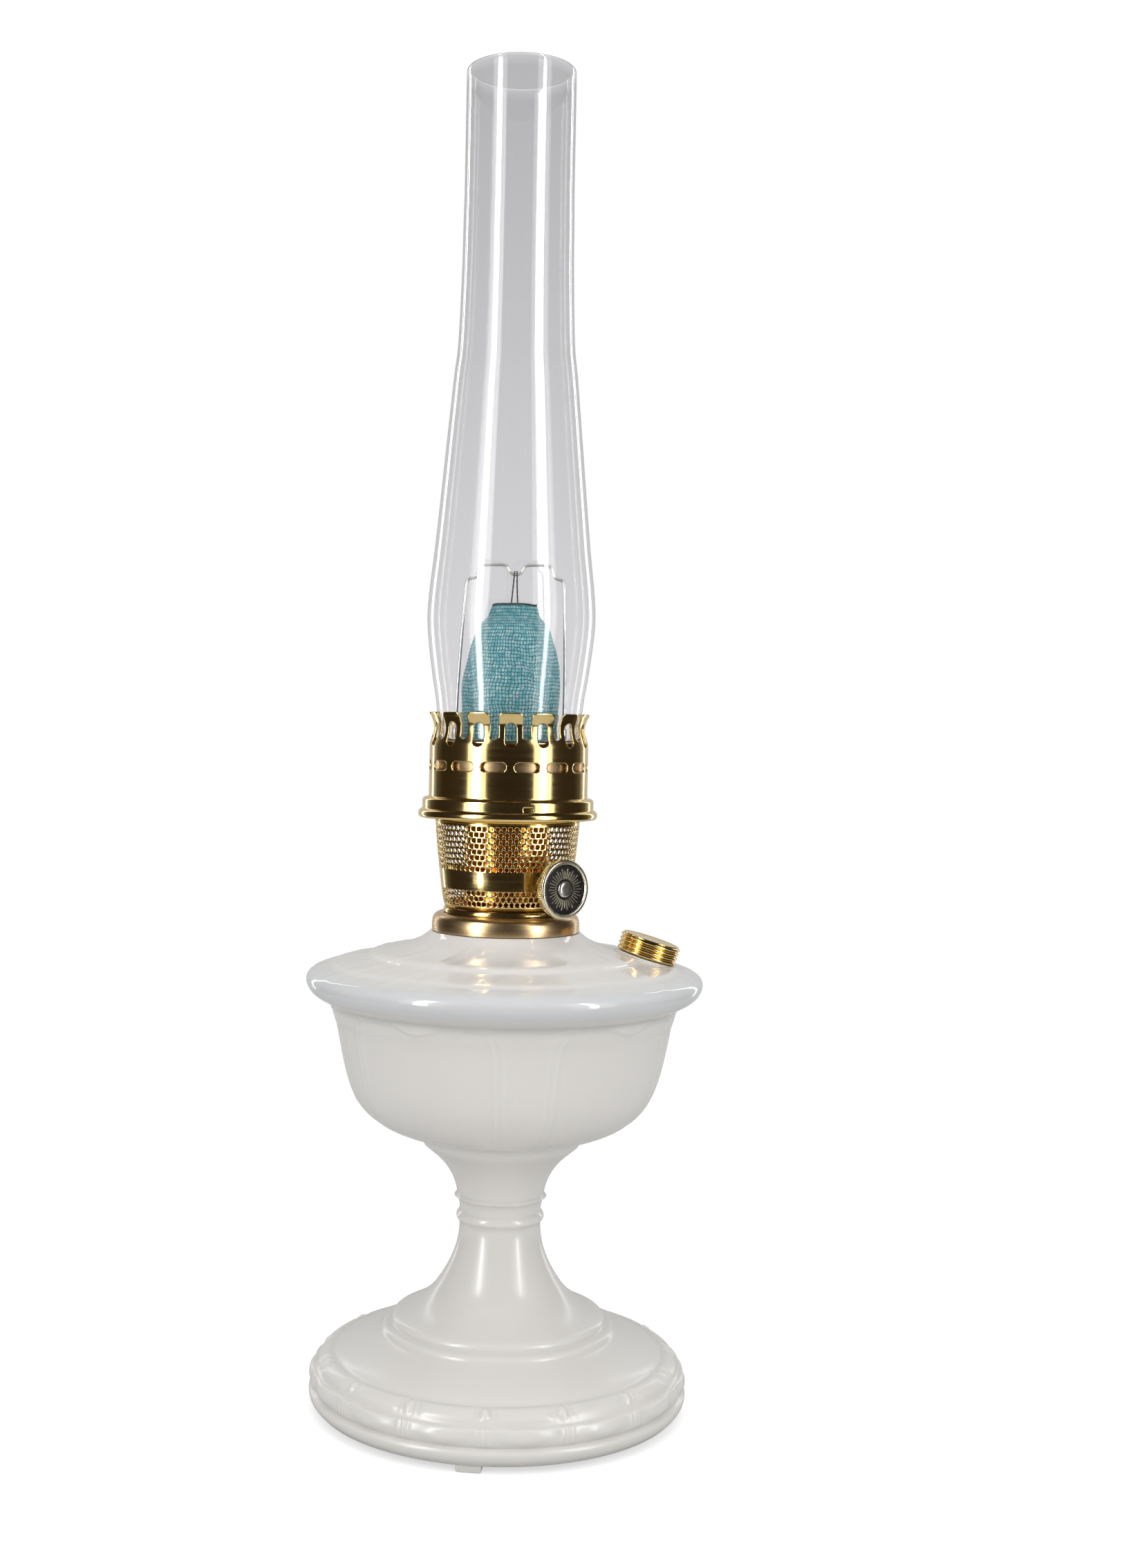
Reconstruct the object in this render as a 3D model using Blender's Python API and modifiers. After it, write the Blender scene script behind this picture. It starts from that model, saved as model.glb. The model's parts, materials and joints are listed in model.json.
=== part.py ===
"""An oil lamp: glass font on a turned foot, round-wick mantle burner, fingered gallery and tall chimney.

Run with blender --background --python part.py, or from the Text Editor. The scene is in metres with +Z up.
The origin is on the table, under the middle of the lamp. Outlines are written in millimetres, as (radius,
height) pairs that run down the outer side from the top and back up the inner side.
"""

import math

import bmesh
import bpy
from mathutils import Matrix, Vector
from mathutils.geometry import interpolate_bezier

MM = 0.001
GAP = 0.3

# Font: bowl, stem and foot in one pressed piece of opal glass.
RIM_RADIUS = 91.1
RIM_HEIGHT = 195.0
NECK_INNER = 28.0
NECK_OUTER = 30.5
NECK_TOP = 221.0
SHOULDER_TOP = 217.5
BOWL_FLOOR = 122.0
FOOT_RADIUS = 86.4
TAB_HEIGHT = 3.0
TAB_WIDTH = 11.0
TAB_DEPTH = 4.0
TAB_COUNT = 3
TAB_TURN = -7.8
FOOT_CAVITY_TOP = 60.0
FONT_SIDES = 28

# Filler: its axis leans outward, square to the shoulder.
FILLER_BASE = (64.6, 0.0, 205.0)
FILLER_LEAN = 16.6
FILLER_BORE = 7.5
FILLER_NECK = 8.7
FILLER_BOSS = 14.4
BOSS_TOP = 1.6
CAP_RADIUS = 14.0
CAP_BOTTOM = 2.7
CAP_TOP = 10.5
CAP_SKIRT = 12.0

# Burner
COLLAR_RADIUS = 34.0
COLLAR_TOP = 226.0
SLEEVE_INNER = 24.9
BASKET_BOTTOM = 228.6
BASKET_TOP = 269.6
BASKET_RIM = 33.5
WICK_TUBE_TOP = 300.0
OUTER_TUBE_RADIUS = 19.6
OUTER_TUBE_BORE = 19.0
INNER_TUBE_RADIUS = 17.0
INNER_TUBE_BORE = 16.4
TUBE_FLOOR = 222.0
WICK_OUTER = 18.7
WICK_INNER = 17.3
WICK_TOP = 301.0
WICK_BOTTOM = 150.0
DUCT_WIDTH = 7.0
DUCT_HEIGHT = 12.0
DUCT_WALL = 0.6
DUCT_REACH = 20.7
WICK_SLIT_TOP = 256.0

# Wick raiser: the shaft points out level, turned from the front towards the right.
SHAFT_TURN = 37.0
SHAFT_HEIGHT = 240.0
SHAFT_RADIUS = 1.5
SHAFT_START = 20.4
SHAFT_END = 41.7
PINION_TEETH = 12
PINION_TIP = 4.0
PINION_ROOT = 3.1
RACK_FACE = 4.1
RACK_TOOTH = 0.9
RACK_BOTTOM = -6.0
RACK_TOP = 11.0
KNOB_RADIUS = 13.2
KNOB_BACK = 39.5
KNOB_DEPTH = 4.5
KNOB_RECESS = 2.5

# Gallery
FINGERS = 15
FINGER_TURN = 1.2
GALLERY_WALL = 0.7
BODY_RADIUS = 36.0
GAP_HALF_ANGLE = 2.7
SLOT_HALF_ANGLE = 8.95
LOCK_RING_RADIUS = 37.9
LOCK_RING_TOP = 276.9

# Chimney and mantle
CHIMNEY_TOP = 614.5
CHIMNEY_BOTTOM = 305.1
CHIMNEY_WALL = 2.0
MANTLE_WALL = 0.6
BAIL_WIRE = 0.7
THREAD_RADIUS = 0.4

LOOKS = {
    "opal_glass": ((0.72, 0.72, 0.70), 0.12, 0.0),
    "clear_glass": ((0.80, 0.82, 0.84), 0.02, 0.0),
    "polished_brass": ((0.82, 0.60, 0.25), 0.16, 1.0),
    "satin_brass": ((0.62, 0.46, 0.22), 0.34, 1.0),
    "nickel_brass": ((0.74, 0.68, 0.55), 0.25, 1.0),
    "steel": ((0.50, 0.50, 0.50), 0.30, 1.0),
    "plaster": ((0.80, 0.78, 0.72), 0.90, 0.0),
    "rubber": ((0.05, 0.05, 0.05), 0.80, 0.0),
    "wick_cotton": ((0.85, 0.83, 0.76), 0.95, 0.0),
    "mantle_net": ((0.10, 0.32, 0.36), 0.90, 0.0),
    "black_thread": ((0.02, 0.02, 0.02), 0.80, 0.0),
    "black_enamel": ((0.02, 0.02, 0.02), 0.40, 0.0),
}


def clear_scene():
    for obj in list(bpy.data.objects):
        bpy.data.objects.remove(obj, do_unlink=True)


def new_collection(name):
    collection = bpy.data.collections.new(name)
    bpy.context.scene.collection.children.link(collection)
    return collection


def look(name):
    """The named finish as a Principled material, made on its first use."""
    if name in bpy.data.materials:
        return bpy.data.materials[name]
    colour, roughness, metallic = LOOKS[name]
    material = bpy.data.materials.new(name)
    material.use_nodes = True
    shader = material.node_tree.nodes["Principled BSDF"]
    shader.inputs["Base Color"].default_value = (*colour, 1.0)
    shader.inputs["Roughness"].default_value = roughness
    shader.inputs["Metallic"].default_value = metallic
    return material


def add_object(name, mesh, finish, place=None, cutter=False):
    """Puts a mesh in the scene as a part, or as a hidden cutter where finish is None."""
    obj = bpy.data.objects.new(name, mesh)
    (CUTTERS if cutter else PARTS).objects.link(obj)
    if place is not None:
        obj.parent = place
    if cutter:
        obj.hide_render = True
        obj.display_type = "WIRE"
    else:
        mesh.materials.append(look(finish))
        mesh.shade_smooth()
        mesh.set_sharp_from_angle(angle=math.radians(30))
    return obj


def smooth_curve(points, steps):
    """A smooth run through the points: each stretch is a Bezier whose handles follow its neighbours."""
    path = [Vector(point) for point in points]
    ends = [path[0] * 2 - path[1], *path, path[-1] * 2 - path[-2]]
    run = []
    for before, start, end, after in zip(ends, path, path[1:], ends[3:]):
        handle_out = start + (end - before) / 6
        handle_in = end - (after - start) / 6
        run += interpolate_bezier(start, handle_out, handle_in, end, steps + 1)[:-1]
    return [tuple(point) for point in run + [path[-1]]]


def smooth_profile(points, steps):
    return [(r, z) for r, z, _ in smooth_curve([(r, z, 0.0) for r, z in points], steps)]


def turned(name, outline, finish, sides=28, place=None, cutter=False):
    """A lathe-turned piece: the outline in millimetres, spun round local Z by a Screw modifier.

    The outline is a closed loop, or an open run whose two ends lie on the axis.
    """
    mesh = bpy.data.meshes.new(name)
    points = [(r * MM, 0.0, z * MM) for r, z in outline]
    edges = [(i, i + 1) for i in range(len(points) - 1)]
    on_axis = outline[0][0] == 0.0 and outline[-1][0] == 0.0
    if not on_axis:
        edges.append((len(points) - 1, 0))
    mesh.from_pydata(points, edges, [])
    obj = add_object(name, mesh, finish, place, cutter)
    screw = obj.modifiers.new("spin", "SCREW")
    screw.steps = screw.render_steps = sides
    screw.use_merge_vertices = True
    screw.merge_threshold = 0.00001
    screw.use_smooth_shade = True
    return obj


def tube(name, outer, inner, low, high, finish, sides=28, place=None):
    """A plain tube between two heights."""
    outline = [(outer, high), (outer, low), (inner, low), (inner, high)]
    return turned(name, outline, finish, sides, place)


def rod_outline(radius, low, high):
    return [(0.0, high), (radius, high), (radius, low), (0.0, low)]


def block(name, low, high, finish=None, place=None, cutter=True):
    """A box between two corners given in millimetres."""
    mesh = bpy.data.meshes.new(name)
    shape = bmesh.new()
    bmesh.ops.create_cube(shape, size=1.0)
    size = [(b - a) * MM for a, b in zip(low, high)]
    centre = [(a + b) / 2 * MM for a, b in zip(low, high)]
    shape.transform(Matrix.Translation(centre) @ Matrix.Diagonal((*size, 1.0)))
    shape.to_mesh(mesh)
    shape.free()
    return add_object(name, mesh, finish, place, cutter)


def join_shape(obj, other, operation="DIFFERENCE"):
    modifier = obj.modifiers.new(other.name, "BOOLEAN")
    modifier.operation = operation
    modifier.object = other


def empty_on_axis(name, matrix):
    """An empty whose local Z is a joint axis; the pieces that move on the joint hang under it."""
    empty = bpy.data.objects.new(name, None)
    PARTS.objects.link(empty)
    empty.matrix_world = matrix
    empty.empty_display_size = 0.01
    return empty


def wire(name, points, radius, finish):
    """A bent wire of round section with capped ends; the points are in millimetres."""
    curve = bpy.data.curves.new(name, "CURVE")
    curve.dimensions = "3D"
    curve.bevel_depth = radius * MM
    curve.bevel_resolution = 2
    curve.use_fill_caps = True
    spline = curve.splines.new("POLY")
    spline.points.add(len(points) - 1)
    for spot, point in zip(spline.points, points):
        spot.co = (*(value * MM for value in point), 1.0)
    obj = bpy.data.objects.new(name, curve)
    PARTS.objects.link(obj)
    curve.materials.append(look(finish))
    return obj


def outline_plate(name, outline, low, high, finish, place, hole=None):
    """A flat outline in the local XY plane, extruded from one height to another; hole is a second outline."""
    curve = bpy.data.curves.new(name, "CURVE")
    curve.dimensions = "2D"
    curve.fill_mode = "BOTH"
    curve.extrude = (high - low) / 2 * MM
    for ring in (outline, hole):
        if ring is None:
            continue
        spline = curve.splines.new("POLY")
        spline.use_cyclic_u = True
        spline.points.add(len(ring) - 1)
        for spot, (x, y) in zip(spline.points, ring):
            spot.co = (x * MM, y * MM, 0.0, 1.0)
    obj = bpy.data.objects.new(name, curve)
    PARTS.objects.link(obj)
    curve.materials.append(look(finish))
    obj.parent = place
    obj.location.z = (low + high) / 2 * MM
    return obj


def circle(radius, sides):
    turns = [2 * math.pi * i / sides for i in range(sides)]
    return [(radius * math.cos(turn), radius * math.sin(turn)) for turn in turns]


def font_outline():
    """Cavity wall from the axis up to the neck, then down the outside to the foot, and up under it."""
    cavity = smooth_profile(
        [(36, 124), (50, 130.5), (66, 145), (71.5, 165), (77, 181), (86.8, 191), (84, 196.3)], 1
    )
    cavity += [(60, 202.8), (42, 207.8), (33, 212.5)]
    neck = [(NECK_INNER, 213.5), (NECK_INNER, NECK_TOP), (NECK_OUTER, NECK_TOP), (NECK_OUTER, SHOULDER_TOP)]
    shoulder = [(34.6, SHOULDER_TOP), (38.5, 214.6), (42.1, 212.3), (47.8, 210.0), (62.0, 206.6)]
    rim = [(80, 202), (88, 199.3), (90.3, 197.5), (RIM_RADIUS, RIM_HEIGHT), (90.4, 191.8), (84.7, 186)]
    bowl = smooth_profile([(77.5, 177), (74.8, 164.5), (70.5, 148), (63.4, 136), (49.3, 127)], 2)
    bowl += [(37.0, 124.5), (36.2, 119.8)]
    stem = smooth_profile([(30.2, 115), (22.4, 105), (20.2, 98.5)], 2)
    stem += [(21.2, 95.7), (18.8, 90.3), (20.1, 86.6), (18.7, 82)]
    stem += smooth_profile([(19.7, 74.5), (22.3, 66.4), (29.7, 54), (38.5, 46.3)], 2)
    foot = [(47.2, 41.2), (48.5, 38.0), (74.8, 25.8), (79.5, 21.5), (83.5, 19.4), (85.5, 15.5)]
    foot += [(85.2, 11.2), (FOOT_RADIUS, 8.5), (85.4, 5.2), (83.4, TAB_HEIGHT)]
    underside = [(79.5, TAB_HEIGHT), (77.5, 13), (70, 21.5), (50, 31), (36, 39), (28, 46), (15, 56)]
    floor = [(0.0, BOWL_FLOOR), (20.0, BOWL_FLOOR)]
    return floor + cavity + neck + shoulder + rim + bowl + stem + foot + underside + [(0.0, FOOT_CAVITY_TOP)]


def make_font(filler):
    font = turned("font_glass", font_outline(), "opal_glass", FONT_SIDES)
    boss = turned("filler_boss", rod_outline(FILLER_BOSS, -3.0, BOSS_TOP), None, 24, filler, cutter=True)
    join_shape(font, boss, "UNION")
    bore = turned("filler_bore", rod_outline(FILLER_NECK + GAP, -16.0, 5.0), None, 24, filler, cutter=True)
    join_shape(font, bore)
    outer = FOOT_RADIUS - 3.2
    for i in range(TAB_COUNT):
        turn = math.radians(TAB_TURN + 360 / TAB_COUNT * i - 90)
        half = TAB_WIDTH / 2
        tab = block(f"foot_tab_{i}", (outer - TAB_DEPTH, -half, 0), (outer, half, TAB_HEIGHT + 2))
        tab.rotation_euler.z = turn
        join_shape(font, tab, "UNION")
    collar = [(30.6, COLLAR_TOP), (32.6, 225.0), (33.7, 223.4), (COLLAR_RADIUS, 221.6)]
    collar += [(COLLAR_RADIUS, SHOULDER_TOP + GAP)]
    collar += [(32.9, SHOULDER_TOP + GAP), (32.9, NECK_TOP + GAP), (27.7, NECK_TOP + GAP), (27.7, 216.0)]
    turned("font_collar", collar + [(26.5, 216.0), (26.5, COLLAR_TOP)], "satin_brass")
    tube("collar_cement", 32.6, NECK_OUTER + GAP, SHOULDER_TOP + GAP, NECK_TOP, "plaster", 24)


def make_filler(filler):
    low, high = BOSS_TOP + GAP, BOSS_TOP + GAP + 0.5
    neck = [(FILLER_NECK, 6.3), (FILLER_NECK, high), (11.5, high), (11.5, low), (FILLER_NECK, low)]
    neck += [(FILLER_NECK, -5.5), (FILLER_BORE, -5.5), (FILLER_BORE, 6.3)]
    turned("filler_neck", neck, "polished_brass", 24, filler)
    tube("filler_gasket", 8.6, 5.0, 6.7, 7.7, "rubber", 24, filler)
    skirt_end = BOSS_TOP + 0.2
    cap = [(0.0, CAP_TOP), (CAP_RADIUS - 0.6, CAP_TOP), (CAP_RADIUS, CAP_TOP - 0.6), (CAP_RADIUS, skirt_end)]
    cap += [(CAP_SKIRT, skirt_end), (CAP_SKIRT, CAP_BOTTOM), (9.1, CAP_BOTTOM), (9.1, 8.0), (0.0, 8.0)]
    turned("filler_cap", cap, "polished_brass", 24, filler)


def make_burner_base():
    base = [(28.9, BASKET_BOTTOM - GAP), (28.9, COLLAR_TOP + GAP), (26.2, COLLAR_TOP + GAP), (26.2, 217.5)]
    base += [(OUTER_TUBE_RADIUS + 0.4, 217.5), (OUTER_TUBE_RADIUS + 0.4, 218.5), (SLEEVE_INNER, 218.5)]
    turned("burner_base", base + [(SLEEVE_INNER, BASKET_BOTTOM - GAP)], "satin_brass")


def make_basket(shaft):
    wall = 0.8
    outer = [(BASKET_RIM, BASKET_TOP), (31.65, 251), (30.1, 238.5), (28.2, BASKET_BOTTOM)]
    inner = [(SLEEVE_INNER, BASKET_BOTTOM), (SLEEVE_INNER, BASKET_BOTTOM + wall)]
    inner += [(28.2 - wall, BASKET_BOTTOM + wall), (30.1 - wall, 238.5), (31.65 - wall, 251)]
    basket = turned("burner_basket", outer + inner + [(BASKET_RIM - wall, BASKET_TOP)], "polished_brass")
    hole = turned("gland_hole", rod_outline(3.8, 26.0, 34.0), None, 16, shaft, cutter=True)
    join_shape(basket, hole)
    gland = [(3.4, 36.6), (3.4, 33.2), (5.0, 33.2), (5.0, 31.4), (3.4, 31.4), (3.4, 27.6)]
    turned("shaft_gland", gland + [(1.55, 27.6), (1.55, 36.6)], "polished_brass", 16, shaft)
    ring = [(LOCK_RING_RADIUS, LOCK_RING_TOP), (LOCK_RING_RADIUS, BASKET_TOP + GAP), (30.0, BASKET_TOP + GAP)]
    ring += [(30.0, BASKET_TOP + GAP + wall), (LOCK_RING_RADIUS - wall, BASKET_TOP + GAP + wall)]
    turned("gallery_lock_ring", ring + [(LOCK_RING_RADIUS - wall, LOCK_RING_TOP)], "polished_brass")


def make_wick_tubes(shaft):
    outer = tube("outer_wick_tube", OUTER_TUBE_RADIUS, OUTER_TUBE_BORE, 214.0, WICK_TUBE_TOP, "satin_brass")
    half, height = DUCT_WIDTH / 2, DUCT_HEIGHT / 2
    window = block("duct_window", (-30, -height - GAP, -half - GAP), (30, height + GAP, half + GAP), place=shaft)
    join_shape(outer, window)
    slot = block("rack_slot", (3.9, -13.0, 17.0), (6.9, 13.0, 22.0), place=shaft)
    join_shape(outer, slot)

    inner = turned("inner_wick_tube", rod_outline(INNER_TUBE_RADIUS, TUBE_FLOOR, WICK_TUBE_TOP), "satin_brass")
    duct = block("duct_outside", (-DUCT_REACH, -height, -half), (DUCT_REACH, height, half), place=shaft)
    join_shape(inner, duct, "UNION")
    low, wide = height - DUCT_WALL, half - DUCT_WALL
    bore = turned("draft_bore", rod_outline(INNER_TUBE_BORE, TUBE_FLOOR + 1, WICK_TUBE_TOP + 5), None, cutter=True)
    join_shape(inner, bore)
    duct_bore = block("duct_bore", (-30, -low, -wide), (30, low, wide), place=shaft)
    join_shape(inner, duct_bore)

    wick = tube("wick", WICK_OUTER, WICK_INNER, WICK_BOTTOM, WICK_TOP, "wick_cotton", 24)
    slit_top, slit_low = WICK_SLIT_TOP - SHAFT_HEIGHT, WICK_BOTTOM - 5 - SHAFT_HEIGHT
    slit = block("wick_slit", (-30, slit_low, -half - 0.5), (30, slit_top, half + 0.5), place=shaft)
    join_shape(wick, slit)


def toothed_wheel(teeth, tip, root):
    """A gear outline: each tooth has two root points and two tip points."""
    points = []
    for i in range(4 * teeth):
        turn = math.pi / (2 * teeth) * (i + 0.5)
        radius = tip if i % 4 in (1, 2) else root
        points.append((radius * math.cos(turn), radius * math.sin(turn)))
    return points


def make_wick_raiser(shaft):
    turned("wick_shaft", rod_outline(SHAFT_RADIUS, SHAFT_START, SHAFT_END), "steel", 16, shaft)
    wheel = toothed_wheel(PINION_TEETH, PINION_TIP, PINION_ROOT)
    outline_plate("wick_pinion", wheel, 20.5, 22.7, "satin_brass", shaft, circle(SHAFT_RADIUS + GAP, 12))
    pitch = 2 * math.pi * PINION_TIP / PINION_TEETH
    face, back = RACK_FACE + RACK_TOOTH, RACK_FACE + RACK_TOOTH + 1.4
    rack = [(back, RACK_TOP), (back, RACK_BOTTOM)]
    for i in range(int((RACK_TOP - RACK_BOTTOM) / pitch)):
        low = RACK_BOTTOM + pitch * i
        rack += [(face, low + 0.1 * pitch), (RACK_FACE, low + 0.35 * pitch), (RACK_FACE, low + 0.65 * pitch)]
        rack += [(face, low + 0.9 * pitch)]
    bar = outline_plate("rack_bar", rack, 20.3, 22.8, "satin_brass", shaft)
    rack_piece = solid_from_curve(bar, "wick_rack", shaft)
    prong = block("rack_prong", (RACK_FACE + 0.2, -2.0, 18.7), (back - 0.2, 5.0, 21.0), place=shaft)
    join_shape(rack_piece, prong, "UNION")

    front, floor = KNOB_BACK + KNOB_DEPTH, KNOB_BACK + KNOB_RECESS
    knob = [(12.2, front), (12.9, front - 0.3), (KNOB_RADIUS, front - 1.0), (KNOB_RADIUS, KNOB_BACK + 0.8)]
    knob += [(12.7, KNOB_BACK), (1.8, KNOB_BACK), (1.8, floor), (11.4, floor), (11.4, front)]
    turned("wick_knob", knob, "nickel_brass", 32, shaft)
    tube("knob_face", 11.1, 2.0, floor + 0.3, floor + 1.0, "black_enamel", 24, shaft)
    head = floor + 1.3
    rivet = [(0.0, head + 0.8), (2.6, head + 0.7), (3.2, head), (1.7, head), (1.7, floor + 0.1), (0.0, floor + 0.1)]
    turned("knob_rivet", rivet, "polished_brass", 16, shaft)


def solid_from_curve(curve_object, name, place):
    """A mesh object in place of a curve object, with the loose caps welded on."""
    bpy.context.view_layer.update()
    graph = bpy.context.evaluated_depsgraph_get()
    mesh = bpy.data.meshes.new_from_object(curve_object.evaluated_get(graph))
    mesh.name = name
    shape = bmesh.new()
    shape.from_mesh(mesh)
    bmesh.ops.remove_doubles(shape, verts=shape.verts, dist=0.00001)
    shape.to_mesh(mesh)
    shape.free()
    obj = bpy.data.objects.new(name, mesh)
    PARTS.objects.link(obj)
    obj.matrix_world = curve_object.matrix_world
    obj.parent = place
    obj.matrix_parent_inverse = place.matrix_world.inverted()
    bpy.data.objects.remove(curve_object, do_unlink=True)
    return obj


def make_flame_spreader():
    outer = [(0.0, 311.5), (14.0, 311.2), (16.2, 309.8), (16.9, 307.5), (16.9, 300.3), (16.1, 300.3)]
    inner = [(16.1, 292.0), (15.4, 292.0), (15.4, 306.5), (13.5, 310.4), (0.0, 310.8)]
    turned("flame_spreader", outer + inner, "satin_brass", 24)


def level_ring(radius, height, turns):
    """Points of a level ring at the given turns, counted from the front towards the right."""
    return [(radius * math.sin(turn) * MM, -radius * math.cos(turn) * MM, height * MM) for turn in turns]


def make_gallery():
    """The gallery is a spun skin with the finger gaps and the body slots left open, thickened inwards."""
    profile = [(40.6, 270.0), (40.6, 272.6), (38.9, 273.8), (38.9, 277.9), (BODY_RADIUS, 278.8)]
    profile += [(BODY_RADIUS, 291.4), (BODY_RADIUS, 295.8), (BODY_RADIUS, 303.0), (35.2, 305.2)]
    profile += [(34.3, 310.0), (36.3, 317.9)]
    slot_row, first_gap_row = 5, 8
    pitch = 360 / FINGERS
    columns, kinds = [], []
    for i in range(FINGERS):
        middle = FINGER_TURN + pitch * (i + 0.5)
        offsets = (-SLOT_HALF_ANGLE, -GAP_HALF_ANGLE, GAP_HALF_ANGLE, SLOT_HALF_ANGLE, pitch / 2)
        columns += [math.radians(middle + offset) for offset in offsets]
        kinds += ["slot", "gap", "slot", "web", "web"]
    mesh = bpy.data.meshes.new("gallery_shell")
    shape = bmesh.new()
    rings = [[shape.verts.new(p) for p in level_ring(r, z, columns)] for r, z in profile]
    for row, (low, high) in enumerate(zip(rings, rings[1:])):
        for i, kind in enumerate(kinds):
            in_slot = row == slot_row and kind in ("slot", "gap")
            in_gap = row >= first_gap_row and kind == "gap"
            if not in_slot and not in_gap:
                j = (i + 1) % len(kinds)
                shape.faces.new((low[i], low[j], high[j], high[i]))
    shape.to_mesh(mesh)
    shape.free()
    gallery = add_object("gallery_shell", mesh, "polished_brass")
    wall = gallery.modifiers.new("wall", "SOLIDIFY")
    wall.thickness = GALLERY_WALL * MM
    wall.offset = -1.0
    wall.use_even_offset = True
    cone = [(34.1, 304.7), (34.1, 304.0), (27.3, 304.0), (24.4, 298.0), (23.6, 298.0), (24.2, 304.7)]
    turned("gallery_cone", cone, "satin_brass")


def make_chimney():
    outside = smooth_profile([(25.4, 560), (27.0, 488), (33.3, 423), (37.2, 384), (38.8, 362)], 2)
    outside += smooth_profile([(37.2, 343), (34.2, 324), (33.2, 312)], 2)
    outside = [(25.4, CHIMNEY_TOP)] + outside + [(33.0, CHIMNEY_BOTTOM)]
    inside = [(r - CHIMNEY_WALL, z) for r, z in reversed(outside)]
    turned("chimney", outside + inside, "clear_glass", 24)


def make_mantle():
    ring = [(26.3, 306.2), (26.3, 305.0), (21.7, 305.0), (21.7, 306.2)]
    turned("mantle_ring", ring, "steel", 24)
    outside = [(9.4, 368.2), (11.0, 364.6), (12.2, 361.8), (16.0, 358.0)]
    outside += smooth_profile([(18.2, 353.0), (21.2, 340.7), (22.6, 328.0), (21.6, 306.6)], 2)
    inside = [(r - MANTLE_WALL, z) for r, z in reversed(outside[1:])] + [(5.0, 367.6)]
    turned("mantle", outside + inside, "mantle_net", 24)
    turned("mantle_cord", bead_ring(10.6, 367.2, 0.5), "black_thread", 24)
    for side, name in ((-1, "left"), (1, "right")):
        ends = [(side * 0.9, 0.0, 381.2), (side * 3.6, 0.0, 369.0)]
        wire(f"mantle_thread_{name}", ends, THREAD_RADIUS, "black_thread")
        x = side * 24.9
        ferrule = tube(f"bail_ferrule_{name}", 1.7, 1.0, 306.7, 311.0, "steel", 12)
        ferrule.location.x = x * MM
    right = [(24.9, 306.6), (24.9, 312.0), (24.7, 330.0), (23.9, 352.0), (23.2, 372.0), (22.7, 378.6)]
    right += [(21.2, 380.3), (18.9, 381.3), (17.4, 384.3), (15.2, 386.0), (9.0, 386.1), (3.6, 385.4)]
    half = [(x, 0.0, z) for x, z in right]
    path = [(-x, y, z) for x, y, z in half] + [(0.0, 0.0, 382.3)] + half[::-1]
    wire("mantle_bail", smooth_curve(path, 2), BAIL_WIRE, "steel")


def bead_ring(radius, height, thickness):
    """A ring's round section, as an outline that runs down its outer side first."""
    turns = [math.pi / 2 - 2 * math.pi * i / 8 for i in range(8)]
    return [(radius + thickness * math.cos(t), height + thickness * math.sin(t)) for t in turns]


clear_scene()
PARTS = new_collection("oil_lamp")
CUTTERS = new_collection("cutters")

LEAN = Matrix.Rotation(math.radians(FILLER_LEAN), 4, "Y")
FILLER_AXIS = empty_on_axis("filler_axis", Matrix.Translation([v * MM for v in FILLER_BASE]) @ LEAN)

# Local Z runs out along the shaft, local Y is up and local X is level, to the shaft's right.
LEVEL = Matrix.Rotation(math.radians(SHAFT_TURN), 4, "Z") @ Matrix.Rotation(math.radians(90), 4, "X")
SHAFT_AXIS = empty_on_axis("shaft_axis", Matrix.Translation((0.0, 0.0, SHAFT_HEIGHT * MM)) @ LEVEL)

make_font(FILLER_AXIS)
make_filler(FILLER_AXIS)
make_burner_base()
make_basket(SHAFT_AXIS)
make_wick_tubes(SHAFT_AXIS)
make_wick_raiser(SHAFT_AXIS)
make_flame_spreader()
make_gallery()
make_chimney()
make_mantle()
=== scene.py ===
# %% [markdown]
# # The looks of an oil lamp
# The working parts of the lamp arrive as a fixed frame of plain solids. This script dresses them: opal
# glass with pressed relief, spun and pierced brass, a knitted mantle and a blown glass chimney.
# Lengths below are written in millimetres and angles are counted from the front (-Y) towards the right.

# %% Load the frame
import json
import math

import bmesh
import bpy
import numpy as np
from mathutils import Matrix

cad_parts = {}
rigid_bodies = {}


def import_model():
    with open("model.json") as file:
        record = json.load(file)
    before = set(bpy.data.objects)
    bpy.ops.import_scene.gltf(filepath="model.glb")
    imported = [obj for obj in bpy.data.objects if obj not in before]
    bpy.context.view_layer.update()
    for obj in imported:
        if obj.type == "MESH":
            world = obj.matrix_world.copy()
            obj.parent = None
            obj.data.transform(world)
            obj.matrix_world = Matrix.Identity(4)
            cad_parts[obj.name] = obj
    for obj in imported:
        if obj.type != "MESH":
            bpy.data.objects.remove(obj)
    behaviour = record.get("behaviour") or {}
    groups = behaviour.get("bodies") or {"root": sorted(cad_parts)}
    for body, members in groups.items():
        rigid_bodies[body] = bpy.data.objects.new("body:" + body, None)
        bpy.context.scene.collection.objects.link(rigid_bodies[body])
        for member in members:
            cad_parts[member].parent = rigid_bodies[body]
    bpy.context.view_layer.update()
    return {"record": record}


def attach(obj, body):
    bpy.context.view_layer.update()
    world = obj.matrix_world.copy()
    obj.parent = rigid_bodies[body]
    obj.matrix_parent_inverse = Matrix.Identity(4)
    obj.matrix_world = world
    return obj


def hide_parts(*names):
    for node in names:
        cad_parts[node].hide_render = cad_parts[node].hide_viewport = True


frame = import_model()
MM = 0.001

# %% [markdown]
# ## Camera
# A small lamp seen from about its own middle height looks calm and upright. The camera stands level at the
# height of the mantle, and the lens is shifted a little, as on a view camera, to place the lamp in the frame
# without leaning its sides.

# %% Camera
CAMERA_DISTANCE = 0.856
CAMERA_HEIGHT = 0.313
LENS_MM = 42.54
LENS_SHIFT = (0.0364, -0.0384)
CAMERA_ROLL = -1.1

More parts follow.
